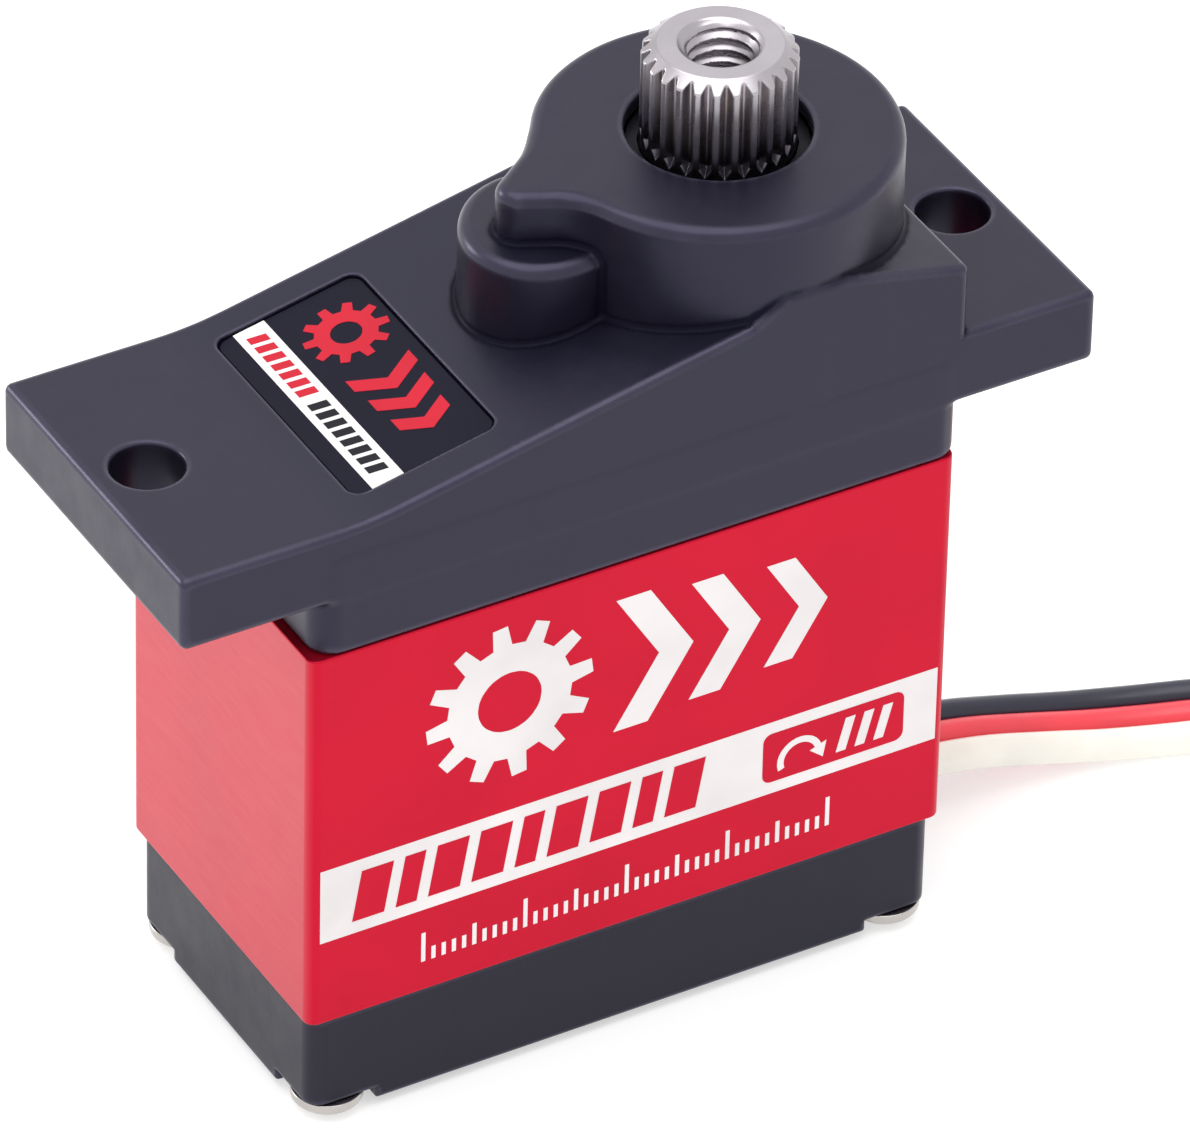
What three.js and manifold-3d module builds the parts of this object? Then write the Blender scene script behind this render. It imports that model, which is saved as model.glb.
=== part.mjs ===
// Micro servo: a metal-geared rotary actuator in a three-part case.
// Units are millimetres, +Z up. The origin is the centre of the case's outline on the plane it stands on.
// X runs along the case, from the motor end (-X) to the output end (+X), where the lead comes out.
import * as THREE from 'three';
import { mergeVertices, mergeGeometries } from 'three/addons/utils/BufferGeometryUtils.js';
import Module from 'manifold-3d';

const wasm = await Module();
wasm.setup();

// ---------- driving dimensions ----------
const CASE_X = -0.23;            // centre of the case along X; the two lugs differ a little in length
const CASE_HALF_L = 11.69, CASE_HALF_W = 6.0;
const COVER_INSET = 0.2;
const Z_COVER = 0.30;            // underside of the lower cover; screw heads stand 0.3 below it
const Z_NOTCH = 0.76;            // seat of the screw heads
const Z_SEAM_LOW = 4.30, Z_SEAM_HIGH = 18.87;
const SEAM = 0.06;               // parting gap
const Z_LUG_LOW = 20.90, Z_LUG_HIGH = 23.56;
const LUG_LEFT = -16.21, LUG_RIGHT = 16.67;
const LUG_HOLE_LEFT = -14.25, LUG_HOLE_RIGHT = 14.90, LUG_HOLE_R = 1.2;
const SKIRT_LEFT = -11.42, SKIRT_RIGHT = 11.88;
const RAMP_X = -9.64, RAMP_SLOPE = 0.206, RAMP_BLEND = 1.24;
const PLATEAU_X = 7.38, PLATEAU_Z = 27.16, STEP_Z = 26.12;
const TOWER_R = 5.93, TOWER_TOP = 29.80, TOWER_HOLE_R = 2.98;
const LOBE_X = 0.1, LOBE_Y = 0.4, LOBE_LOW_R = 2.78, LOBE_PIN_R = 2.3, LOBE_LOW_TOP = 28.0;
const TONGUE_X = -1.0, TONGUE_Y = 0.1, TONGUE_R = 0.8;
const SHAFT_TOP = 32.94;
const SPLINE_TEETH = 25, SPLINE_TIP_R = 2.5, SPLINE_ROOT_R = 2.2;
const SCREW_X = 10.34, SCREW_Y = 4.8, SCREW_R = 0.62, SCREW_HOLE_R = 0.78, SCREW_HEAD_R = 1.2;
const POST_R = 1.3;

// gear train: motor axis, intermediate pin and output axis, all on the case's long centre line
const MOTOR_X = -5.64, PIN_X = -0.54, OUT_X = 6.06;
const M1 = 0.2, M2 = 0.3;                       // modules of the first mesh and of the others
const Z_PINION = 9, Z_WHEEL_1 = 42;             // motor mesh, 5.1 between centres
const Z_SMALL = 12, Z_LARGE = 32;               // the three other meshes, 6.6 between centres
const PIN_R = 0.5, IDLER_SHAFT_R = 1.0;

// lead
const WIRE_D = 0.9, WIRE_PITCH = 1.12;
const HANK_X0 = 31.2, HANK_X1 = 64.2, HANK_HALF_W = 6.0, HANK_H = 4.3;
const PLUG_X0 = 71.2, PLUG_L = 14.0, PLUG_W = 7.6, PLUG_H = 2.6;

// ---------- helpers ----------
const bare = g => {
  const c = (g.index ? g : g.clone()).clone();
  for (const k of Object.keys(c.attributes)) if (k !== 'position') c.deleteAttribute(k);
  return mergeVertices(c, 1e-4);
};
const solid = g => {
  const b = bare(g);
  return new wasm.Manifold(new wasm.Mesh({ numProp: 3, vertProperties: new Float32Array(b.attributes.position.array), triVerts: new Uint32Array(b.index.array) }));
};
const geometry = m => {
  const q = m.getMesh();
  const g = new THREE.BufferGeometry();
  g.setAttribute('position', new THREE.BufferAttribute(new Float32Array(q.vertProperties), 3));
  g.setIndex(new THREE.BufferAttribute(new Uint32Array(q.triVerts), 1));
  return g;
};
const join = (...gs) => geometry(gs.map(solid).reduce((a, b) => a.add(b)));
const cut = (g, ...tools) => geometry(tools.map(solid).reduce((a, b) => a.subtract(b), solid(g)));
const common = (a, b) => geometry(solid(a).intersect(solid(b)));

const cylinder = (x, y, z0, z1, r, seg = 24, r2 = r) => {
  const g = new THREE.CylinderGeometry(r2, r, z1 - z0, seg);
  g.rotateX(Math.PI / 2);
  g.translate(x, y, (z0 + z1) / 2);
  return g;
};
const box = (x0, x1, y0, y1, z0, z1) => {
  const g = new THREE.BoxGeometry(x1 - x0, y1 - y0, z1 - z0);
  g.translate((x0 + x1) / 2, (y0 + y1) / 2, (z0 + z1) / 2);
  return g;
};
// a rounded rectangle's outline
const rounded = (x0, x1, y0, y1, r, n = 4) => {
  const out = [];
  for (const [cx, cy, a] of [[x1 - r, y1 - r, 0], [x0 + r, y1 - r, 90], [x0 + r, y0 + r, 180], [x1 - r, y0 + r, 270]])
    for (let i = 0; i <= n; i++) {
      const t = (a + 90 * i / n) * Math.PI / 180;
      out.push(new THREE.Vector2(cx + r * Math.cos(t), cy + r * Math.sin(t)));
    }
  return out;
};
const circle = (x, y, r, n) => Array.from({ length: n }, (_, i) => new THREE.Vector2(x + r * Math.cos(2 * Math.PI * i / n), y + r * Math.sin(2 * Math.PI * i / n)));
const prism = (points, z0, z1, holes = []) => {
  const s = new THREE.Shape(points);
  for (const h of holes) s.holes.push(new THREE.Path(h));
  const g = new THREE.ExtrudeGeometry(s, { depth: z1 - z0, bevelEnabled: false });
  g.translate(0, 0, z0);
  return g;
};
// an outline in X and Z, run along Y
const prismY = (points, y0, y1) => {
  const g = new THREE.ExtrudeGeometry(new THREE.Shape(points), { depth: y1 - y0, bevelEnabled: false });
  g.rotateX(-Math.PI / 2);
  g.translate(0, y0, 0);
  return g;
};
// a turned piece: pairs of radius and height, from the bottom up, closed on the axis or on itself
const turned = (x, y, pairs, seg = 24) => {
  const pts = pairs.map(([r, z]) => new THREE.Vector2(r, z));
  const g = new THREE.LatheGeometry(pts, seg);
  g.rotateX(Math.PI / 2);
  g.translate(x, y, 0);
  const m = solid(g);
  return geometry(m.volume() > 0 ? m : solid(flipped(g)));
};
const flipped = g => {
  const b = bare(g), i = b.index.array;
  for (let k = 0; k < i.length; k += 3) { const t = i[k]; i[k] = i[k + 1]; i[k + 1] = t; }
  return b;
};
const ring = (x, y, r0, r1, z0, z1, seg = 24) => prism(circle(x, y, r1, seg), z0, z1, [circle(x, y, r0, seg)]);

// Spur gear outline with involute flanks. The tooth at the given angle is centred on it.
const PRESSURE = 25 * Math.PI / 180;
const inv = a => Math.tan(a) - a;
const gear = (x, y, teeth, m, phase, { add = 0.85, ded = 1.2, thin = 0.03, flank = 3 } = {}) => {
  const rp = m * teeth / 2, rb = rp * Math.cos(PRESSURE), ra = rp + add * m, rf = rp - ded * m;
  const half = Math.PI / (2 * teeth) - thin / (2 * rp);
  const at = r => half + inv(PRESSURE) - inv(Math.acos(Math.min(1, rb / r)));
  const low = Math.max(rb, rf + 0.01), pts = [];
  for (let k = 0; k < teeth; k++) {
    const c = phase + 2 * Math.PI * k / teeth, one = [];
    one.push([rf, at(low) + 0.004 / rf]);
    for (let i = 0; i < flank; i++) {
      const r = low + (ra - low) * i / (flank - 1);
      one.push([r, at(r)]);
    }
    const p = ([r, a]) => new THREE.Vector2(x + r * Math.cos(c + a), y + r * Math.sin(c + a));
    pts.push(...one.map(([r, a]) => p([r, -a])), ...one.reverse().map(([r, a]) => p([r, a])));
  }
  return pts;
};

// ---------- the assembly ----------
const servo = new THREE.Group();
servo.position.x = CASE_X;
const lead = new THREE.Group();
const add = (name, geo, color, roughness = 0.5, metalness = 0, group = servo) => {
  const mesh = new THREE.Mesh(geo, new THREE.MeshStandardMaterial({ color, roughness, metalness }));
  mesh.name = name;
  group.add(mesh);
  return mesh;
};
const CORNERS = [[-1, -1], [1, -1], [1, 1], [-1, 1]].map(([i, j]) => [i * SCREW_X, j * SCREW_Y]);

// ----- upper case: lugs, ramp, gear tower -----
const rampZ = x => {
  const d = x - RAMP_X;
  if (d <= -RAMP_BLEND) return Z_LUG_HIGH;
  if (d >= RAMP_BLEND) return Z_LUG_HIGH + RAMP_SLOPE * d;
  return Z_LUG_HIGH + RAMP_SLOPE * (d + RAMP_BLEND) ** 2 / (4 * RAMP_BLEND);
};
const profile = [
  [LUG_LEFT, Z_LUG_LOW], [LUG_RIGHT, Z_LUG_LOW], [LUG_RIGHT, Z_LUG_HIGH], [SKIRT_RIGHT, Z_LUG_HIGH], [SKIRT_RIGHT, STEP_Z],
  [PLATEAU_X, PLATEAU_Z], [5.0, PLATEAU_Z], [3.6, rampZ(3.6)],
  ...[1.24, 0.62, 0, -0.62, -1.24].map(d => [RAMP_X + d, rampZ(RAMP_X + d)]), [LUG_LEFT, Z_LUG_HIGH],
].map(([x, z]) => new THREE.Vector2(x, -z));
const towerProfile = [[0, 20], [TOWER_R, 20], [TOWER_R, TOWER_TOP - 0.5], [TOWER_R - 0.15, TOWER_TOP - 0.15], [TOWER_R - 0.5, TOWER_TOP], [0, TOWER_TOP]];
const lobeProfile = (r, z0, top) => [[0, z0], [r, z0], [r, top - 0.35], [r - 0.35, top], [0, top]];
// the tongue over the pin: a round tip whose flat sides widen into the tower
const tongue = [
  ...Array.from({ length: 8 }, (_, i) => THREE.MathUtils.degToRad(242 - 114 * i / 7)).map(a => [TONGUE_X + TONGUE_R * Math.cos(a), TONGUE_Y + TONGUE_R * Math.sin(a)]),
  [0.95, 2.62], [2.6, 2.62], [2.6, -1.64], [0.57, -1.64],
].map(p => new THREE.Vector2(...p)).reverse();
let upper = join(
  prismY(profile, -CASE_HALF_W, CASE_HALF_W),
  prism(rounded(SKIRT_LEFT, SKIRT_RIGHT, -CASE_HALF_W, CASE_HALF_W, 0.7, 3), Z_SEAM_HIGH + SEAM / 2, Z_LUG_LOW + 0.2),
  turned(OUT_X, 0, towerProfile, 40),
  turned(LOBE_X, LOBE_Y, lobeProfile(LOBE_LOW_R, 22, LOBE_LOW_TOP), 28),
  turned(PIN_X, 0, lobeProfile(LOBE_PIN_R, 22, LOBE_LOW_TOP - 0.1), 24),
  prism(tongue, 22, TOWER_TOP - 0.05),
);
const labelSlope = Math.atan(RAMP_SLOPE);
const onRamp = (g, x) => { g.rotateY(-labelSlope); g.translate(x, 0.08, rampZ(x)); return g; };
const LABEL_X = -6.86, LABEL_HALF_X = 2.64, LABEL_HALF_Y = 4.66;
upper = cut(upper,
  cylinder(OUT_X, 0, 18, 26.85, 5.3, 40),
  cylinder(PIN_X, 0, 18, 23.70, 5.3, 40),
  cylinder(PIN_X, 0, 18, 27.55, 2.2, 24),
  cylinder(PIN_X, 0, 18, 29.20, 0.58, 12),
  cylinder(OUT_X, 0, 18, 29.25, 4.1, 32),
  cylinder(OUT_X, 0, 18, 31, TOWER_HOLE_R, 32),
  box(-8.7, -3, -5.1, 5.1, 18, 22.4),
  cylinder(LUG_HOLE_LEFT, 0, 20, 24, LUG_HOLE_R, 24),
  cylinder(LUG_HOLE_RIGHT, 0, 20, 24, LUG_HOLE_R, 24),
  onRamp(prism(rounded(-LABEL_HALF_X, LABEL_HALF_X, -LABEL_HALF_Y, LABEL_HALF_Y, 0.5, 3), -0.2, 1), LABEL_X),
  ...CORNERS.map(([x, y]) => cylinder(x, y, 18, 22.9, SCREW_HOLE_R, 12)),
);
add('upper_case', upper, 0x2f2e3a, 0.48);
add('label_plate', onRamp(prism(rounded(-LABEL_HALF_X + 0.06, LABEL_HALF_X - 0.06, -LABEL_HALF_Y + 0.06, LABEL_HALF_Y - 0.06, 0.45, 3), -0.16, -0.04), LABEL_X), 0x25263a, 0.35);

// ----- middle case: aluminium sleeve with a deck that carries the gears -----
const DECK = 17.25;
add('middle_case', cut(
  prism(rounded(-CASE_HALF_L, CASE_HALF_L, -CASE_HALF_W, CASE_HALF_W, 0.35, 3), Z_SEAM_LOW + SEAM / 2, Z_SEAM_HIGH - SEAM / 2),
  cut(box(-10.76, 10.76, -5.1, 5.1, 3, DECK), ...CORNERS.map(([x, y]) => cylinder(x, y, 2, 19, POST_R, 20))),
  cylinder(MOTOR_X, 0, 16, 20, 1.4, 16),
  cylinder(OUT_X, 0, 16, 20, 2.58, 24),
  cylinder(PIN_X, 0, 17.85, 20, 0.58, 12),
  ...CORNERS.map(([x, y]) => cylinder(x, y, 2, 20, SCREW_HOLE_R, 12)),
), 0xd21f3a, 0.32, 0.85);

// ----- lower cover -----
const CX = CASE_HALF_L - COVER_INSET, CY = CASE_HALF_W - COVER_INSET;
const notch = (i, j) => box(Math.min(i * 9.08, i * 13), Math.max(i * 9.08, i * 13), Math.min(j * 3.5, j * 8), Math.max(j * 3.5, j * 8), -1, Z_NOTCH);
const EXIT_Z = 2.40;
add('lower_cover', cut(
  prism(rounded(-CX, CX, -CY, CY, 0.5, 3), Z_COVER, Z_SEAM_LOW - SEAM / 2),
  cut(box(-10.5, 10.5, -4.9, 4.9, 1.3, 6), ...CORNERS.map(([x, y]) => cylinder(x, y, 0, 7, POST_R, 20))),
  notch(-1, -1), notch(1, -1), notch(1, 1), notch(-1, 1),
  box(10, 13, -1.98, 1.98, EXIT_Z - 0.82, EXIT_Z + 0.82),
  ...CORNERS.map(([x, y]) => cylinder(x, y, 0, 7, SCREW_HOLE_R, 12)),
), 0x2b2c37, 0.5);

// ----- case screws: pan heads below, long shanks up into the upper case -----
CORNERS.forEach(([x, y], i) => add(`case_screw_${i + 1}`, turned(x, y, [
  [0, 0], [0.75, 0], [1.1, 0.12], [SCREW_HEAD_R, 0.36], [SCREW_HEAD_R, Z_NOTCH - 0.03], [SCREW_R, Z_NOTCH - 0.03], [SCREW_R, 22.2], [0.3, 22.7], [0, 22.7],
], 14), 0xc9c9cc, 0.28, 1));

// ----- gear train -----
const steel = [0xb9b8bd, 0.3, 1], brass = [0xc8a050, 0.35, 1];
const L1 = [19.4, 20.3], L2 = [20.8, 21.8], L3 = [22.35, 23.4], L4 = [23.9, 26.5];
add('first_gear', join(
  prism(gear(PIN_X, 0, Z_WHEEL_1, M1, Math.PI + Math.PI / Z_WHEEL_1, { flank: 2 }), L1[0], L1[1], [circle(PIN_X, 0, 0.57, 12)]),
  prism(gear(PIN_X, 0, Z_SMALL, M2, 0), L1[1] - 0.3, 22.1, [circle(PIN_X, 0, 0.57, 12)]),
), ...brass);
add('second_gear', join(
  prism(gear(OUT_X, 0, Z_LARGE, M2, Math.PI + Math.PI / Z_LARGE, { flank: 2 }), L2[0], L2[1], [circle(OUT_X, 0, 1.08, 20)]),
  prism(gear(OUT_X, 0, Z_SMALL, M2, Math.PI), L2[1] - 0.3, 23.6, [circle(OUT_X, 0, 1.08, 20)]),
), ...steel);
add('third_gear', join(
  prism(gear(PIN_X, 0, Z_LARGE, M2, Math.PI / Z_LARGE, { flank: 2 }), L3[0], L3[1], [circle(PIN_X, 0, 0.57, 12)]),
  prism(gear(PIN_X, 0, Z_SMALL, M2, 0), L3[1] - 0.3, 27.3, [circle(PIN_X, 0, 0.57, 12)]),
), ...steel);
add('intermediate_pin', cylinder(PIN_X, 0, 17.9, 29.1, PIN_R, 12), ...steel);

const spline = Array.from({ length: SPLINE_TEETH }, (_, k) => {
  const c = 2 * Math.PI * (k + 0.5) / SPLINE_TEETH, s = Math.PI / SPLINE_TEETH;
  return [[SPLINE_ROOT_R, -0.98 * s], [SPLINE_TIP_R, -0.34 * s], [SPLINE_TIP_R, 0.34 * s], [SPLINE_ROOT_R, 0.98 * s]]
    .map(([r, a]) => new THREE.Vector2(OUT_X + r * Math.cos(c + a), r * Math.sin(c + a)));
}).flat();
add('output_gear', cut(join(
  turned(OUT_X, 0, [[0, 13.0], [0.9, 13.0], [0.9, 17.2], [IDLER_SHAFT_R, 17.2], [IDLER_SHAFT_R, 24.0], [2.9, 24.0], [2.9, 27.0], [2.5, 27.0], [2.5, 29.5], [0, 29.5]], 24),
  prism(gear(OUT_X, 0, Z_LARGE, M2, Math.PI + Math.PI / Z_LARGE, { flank: 2 }), L4[0], L4[1]),
  common(prism(spline, 29.3, SHAFT_TOP), turned(OUT_X, 0, [[0, 29.2], [2.7, 29.2], [2.7, SHAFT_TOP - 0.52], [2.04, SHAFT_TOP], [0, SHAFT_TOP]], 50)),
), turned(OUT_X, 0, [[0, 26.2], [1.05, 26.8], [1.05, SHAFT_TOP - 0.2], [1.25, SHAFT_TOP + 0.01], [1.25, SHAFT_TOP + 1], [0, SHAFT_TOP + 1]], 24)), ...steel);

const bearing = (name, x, r0, ri, ro, r1, z0, z1, seg) => {
  add(`${name}_inner`, ring(x, 0, r0, ri, z0, z1, seg), ...steel);
  add(`${name}_outer`, ring(x, 0, ro, r1, z0, z1, seg), ...steel);
  const t = new THREE.TorusGeometry((ri + ro) / 2, (ro - ri) / 2 - 0.07, 6, seg);
  t.translate(x, 0, (z0 + z1) / 2);
  add(`${name}_balls`, t, ...steel);
};
bearing('upper_bearing', OUT_X, 2.56, 2.95, 3.5, 4.02, 27.06, 29.2, 24);
bearing('lower_bearing', OUT_X, 1.06, 1.4, 2.0, 2.5, 17.4, 18.75, 20);

// ----- motor -----
add('motor_can', turned(MOTOR_X, 0, [[4.55, 5.2], [5.0, 5.2], [5.0, 17.0], [0.98, 17.0], [0.98, 16.4], [4.55, 16.4], [4.55, 5.2]], 32), 0xb4b5ba, 0.3, 1);
add('motor_sleeve', ring(MOTOR_X, 0, 0.46, 0.9, 9.0, 17.6, 16), ...brass);
add('motor_magnet', ring(MOTOR_X, 0, 0.97, 2.7, 8.6, 16.0, 24), 0x4a4a50, 0.4, 0.8);
add('motor_end_cap', cut(cylinder(MOTOR_X, 0, 5.3, 6.1, 4.48, 24), cylinder(MOTOR_X, 0, 5, 7, 0.46, 12),
  box(MOTOR_X - 3.2, MOTOR_X - 2.4, -0.85, 0.85, 5, 7), box(MOTOR_X + 2.4, MOTOR_X + 3.2, -0.85, 0.85, 5, 7)), 0x1c1c20, 0.6);
const brush = side => join(
  box(Math.min(MOTOR_X + side * 2.65, MOTOR_X + side * 2.95), Math.max(MOTOR_X + side * 2.65, MOTOR_X + side * 2.95), -0.6, 0.6, 4.3, 7.1),
  box(Math.min(MOTOR_X + side * 1.22, MOTOR_X + side * 2.75), Math.max(MOTOR_X + side * 1.22, MOTOR_X + side * 2.75), -0.35, 0.35, 6.5, 7.1));
add('motor_brush_left', brush(-1), ...brass);
add('motor_brush_right', brush(1), ...brass);
add('motor_shaft', cylinder(MOTOR_X, 0, 5.6, 20.7, 0.4, 12), ...steel);
add('motor_winding', turned(MOTOR_X, 0, [[0.46, 7.5], [3.95, 7.5], [3.95, 15.6], [3.05, 15.6], [3.05, 8.2], [0.46, 8.2], [0.46, 7.5]], 24), 0xb5622b, 0.4, 0.6);
add('motor_commutator', ring(MOTOR_X, 0, 0.46, 1.15, 6.3, 7.4, 16), 0xc07a48, 0.35, 1);
add('motor_pinion', prism(gear(MOTOR_X, 0, Z_PINION, M1, 0), 19.2, 20.6, [circle(MOTOR_X, 0, 0.46, 12)]), ...brass);

// ----- position sensor on the output shaft -----
add('pot_housing', turned(OUT_X, 0, [[3.7, 12.9], [4.2, 12.9], [4.2, 17.1], [1.2, 17.1], [1.2, 16.5], [3.7, 16.5], [3.7, 12.9]], 24), 0x35508a, 0.5);
add('pot_track', ring(OUT_X, 0, 1.2, 3.62, 12.5, 13.2, 24), 0x6b4a2a, 0.6);
add('pot_wiper', ring(OUT_X, 0, 0.96, 3.2, 14.0, 14.8, 20), 0xd9d4c4, 0.5);

// ----- electronics -----
add('control_board', prism(rounded(-8.8, 8.8, -4.6, 4.6, 0.3, 2), 3.35, 4.15), 0x14603a, 0.5);
add('controller_chip', box(-2.4, 1.6, -2, 2, 2.35, 3.25), 0x17171a, 0.5);
add('driver_chip', box(-7.2, -4.2, -1.5, 1.5, 2.45, 3.25), 0x17171a, 0.5);
add('board_capacitor', cylinder(4.6, 1.2, 4.25, 8.6, 1.9, 18), 0x8f8f96, 0.35, 0.8);
add('board_inductor', box(1.2, 3.2, -4.1, -1.9, 4.25, 6.0), 0x3c3c40, 0.6);

// ----- lead: grommet, three wires, tied hank, three-way plug -----
add('cable_grommet', cut(box(10.45, 12.1, -1.9, 1.9, EXIT_Z - 0.76, EXIT_Z + 0.76),
  ...[-1, 0, 1].map(k => { const g = new THREE.CylinderGeometry(0.59, 0.59, 4, 12); g.rotateZ(Math.PI / 2); g.translate(11.4, k * WIRE_PITCH, EXIT_Z); return g; })), 0x1d1d20, 0.8);

// the middle wire's line, and how far the outer two spread from it; the three lie side by side
const LEAD = [[7.9, 0, 2.4], [10.2, 0, 2.4], [12.2, 0, 2.4], [14.0, 0, 2.27], [16.0, -0.02, 1.93], [18.4, -0.1, 1.3], [20.6, -0.32, 0.78],
  [22.6, -0.78, 0.58], [24.6, -1.45, 0.57], [26.6, -2.3, 0.57], [28.7, -3.22, 0.57], [30.9, -3.92, 0.57]];
const TAIL = [[64.5, 0.25, 1.72, 1], [66.3, 0.0, 1.62, 1.05], [68.2, -0.03, 1.45, 1.5], [69.8, 0, 1.33, 2.0], [70.9, 0, 1.3, 2.27]];
const strand = (points, k) => points.map(([x, y, z, spread = 1], i) => {
  const a = points[Math.max(i - 1, 0)], b = points[Math.min(i + 1, points.length - 1)];
  const tx = b[0] - a[0], ty = b[1] - a[1], n = Math.hypot(tx, ty), o = k * WIRE_PITCH * spread;
  return new THREE.Vector3(x - o * ty / n, y + o * tx / n, z);
});
const tube = (points, steps) => new THREE.ExtrudeGeometry(new THREE.Shape(circle(0, 0, WIRE_D / 2, 8)), { steps, bevelEnabled: false, extrudePath: new THREE.CatmullRomCurve3(points) });
for (const [name, k, color] of [['black', 1, 0x15151c], ['red', 0, 0xc8202e], ['white', -1, 0xe9e6dc]]) {
  add(`wire_${name}`, tube(strand(LEAD, k), 13), color, 0.45, 0, lead);
  add(`wire_${name}_tail`, tube(strand(TAIL, k), 5), color, 0.45, 0, lead);
}
add('lead_hank', prism(rounded(HANK_X0, HANK_X1, -HANK_HALF_W, HANK_HALF_W, 5.6, 6), 0, HANK_H), 0x4a2a30, 0.6, 0, lead);
const PLUG_PITCH = 2.54, sockets = [-1, 0, 1].map(k => k * PLUG_PITCH);
add('plug_housing', cut(prism(rounded(PLUG_X0, PLUG_X0 + PLUG_L, -PLUG_W / 2, PLUG_W / 2, 0.25, 2), 0, PLUG_H),
  ...sockets.map(y => box(PLUG_X0 - 1, PLUG_X0 + PLUG_L + 1, y - 0.95, y + 0.95, 0.4, PLUG_H - 0.4))), 0x111114, 0.55, 0, lead);
sockets.forEach((y, i) => add(`plug_contact_${i + 1}`, cut(box(PLUG_X0 + 4, PLUG_X0 + 13.4, y - 0.8, y + 0.8, 0.55, PLUG_H - 0.55),
  box(PLUG_X0 + 6, PLUG_X0 + 14, y - 0.45, y + 0.45, 0.9, PLUG_H - 0.9)), 0xcbb06a, 0.3, 1, lead));

const root = new THREE.Group();
root.add(servo, lead);
export default root;
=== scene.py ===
import math

import bmesh
import bpy
import numpy as np
from mathutils import Matrix, Vector


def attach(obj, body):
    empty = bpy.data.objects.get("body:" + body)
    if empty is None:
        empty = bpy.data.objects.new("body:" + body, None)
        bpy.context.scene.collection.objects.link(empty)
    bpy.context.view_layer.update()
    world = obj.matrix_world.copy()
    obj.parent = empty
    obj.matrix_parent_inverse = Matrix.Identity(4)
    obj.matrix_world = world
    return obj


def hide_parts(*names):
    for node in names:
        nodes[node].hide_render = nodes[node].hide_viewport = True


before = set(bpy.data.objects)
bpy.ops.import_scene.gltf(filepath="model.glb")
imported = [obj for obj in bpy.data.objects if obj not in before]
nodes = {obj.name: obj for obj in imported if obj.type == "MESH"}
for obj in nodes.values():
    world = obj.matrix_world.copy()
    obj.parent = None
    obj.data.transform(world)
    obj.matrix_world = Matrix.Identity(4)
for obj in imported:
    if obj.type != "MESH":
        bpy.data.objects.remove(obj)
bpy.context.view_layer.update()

MM = 0.001
CASE_X = -0.23          # the case's centre in the row frame, mm
scene = bpy.context.scene

# ------------------------------------------------------------------ camera
cam_data = bpy.data.cameras.new("camera")
cam_data.sensor_width = 36.0
cam_data.lens = 385.547
cam_data.clip_start, cam_data.clip_end = 0.02, 5.0
camera = bpy.data.objects.new("camera", cam_data)
scene.collection.objects.link(camera)
R = np.array([[0.869787937394521, -0.49305783342762893, 0.019050376863392615],
              [0.28300121224004876, 0.5301164787723798, 0.7993039677148088],
              [-0.40420200127367956, -0.6898336696839504, 0.6006248832147456]])
m = np.eye(4); m[:3, :3] = R.T; m[:3, 3] = (-0.1633306782330609, -0.2817005459023643, 0.2590500444790112)
camera.matrix_world = Matrix(m.tolist())
scene.camera = camera

# ------------------------------------------------------------------ numbers shared with the CAD, mm, case frame
HALF_L, HALF_W = 11.69, 6.0
Z_SEAM_LOW, Z_SEAM_HIGH = 4.30, 18.87
Z_LUG_LOW, Z_LUG_HIGH = 20.90, 23.56
LUG_LEFT, LUG_RIGHT = -16.21, 16.67
HOLE_LEFT, HOLE_RIGHT, HOLE_R = -14.25, 14.90, 1.2
SKIRT_LEFT, SKIRT_RIGHT = -11.42, 11.88
RAMP_X, RAMP_SLOPE, RAMP_BLEND = -9.64, 0.206, 1.24
PLATEAU_X, PLATEAU_Z, STEP_Z = 7.38, 27.16, 26.12
TOWER_R, TOWER_TOP, TOWER_HOLE = 5.93, 29.80, 2.98
PIN_X, OUT_X, MOTOR_X = -0.54, 6.06, -5.64
SHAFT_TOP = 32.94
SCREW_X, SCREW_Y = 10.34, 4.8
EXIT_Z = 2.40
PITCH, WIRE_D = 1.12, 1.1
LABEL_X, LABEL_A = -6.86, math.atan(0.206)


# ------------------------------------------------------------------ cords
def catmull(points, per=8):
    p = np.array(points, float)
    p = np.vstack([2 * p[0] - p[1], p, 2 * p[-1] - p[-2]])
    out = []
    for i in range(1, len(p) - 2):
        a, b, c, d = p[i - 1:i + 3]
        t0 = 0.0
        t1 = t0 + max(np.linalg.norm(b - a), 1e-6) ** 0.5
        t2 = t1 + max(np.linalg.norm(c - b), 1e-6) ** 0.5
        t3 = t2 + max(np.linalg.norm(d - c), 1e-6) ** 0.5
        for t in np.linspace(t1, t2, per, endpoint=False):
            a1 = (t1 - t) / (t1 - t0) * a + (t - t0) / (t1 - t0) * b
            a2 = (t2 - t) / (t2 - t1) * b + (t - t1) / (t2 - t1) * c
            a3 = (t3 - t) / (t3 - t2) * c + (t - t2) / (t3 - t2) * d
            b1 = (t2 - t) / (t2 - t0) * a1 + (t - t0) / (t2 - t0) * a2
            b2 = (t3 - t) / (t3 - t1) * a2 + (t - t1) / (t3 - t1) * a3
            out.append((t2 - t) / (t2 - t1) * b1 + (t - t1) / (t2 - t1) * b2)
    out.append(p[-2])
    return np.array(out)


LEAD = [[10.9, 0, 2.4], [12.2, 0, 2.4], [14.0, 0, 2.27], [16.0, -0.02, 1.93], [18.4, -0.1, 1.3], [20.6, -0.32, 0.78],
        [22.6, -0.78, 0.58], [24.6, -1.45, 0.57], [26.6, -2.3, 0.57], [28.7, -3.22, 0.57], [30.9, -3.92, 0.57]]
CL, CR, LOBE = np.array([37.2, 0.0]), np.array([58.2, 0.0]), 4.2
phi = math.asin(2 * LOBE / (CR[0] - CL[0]))


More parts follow.
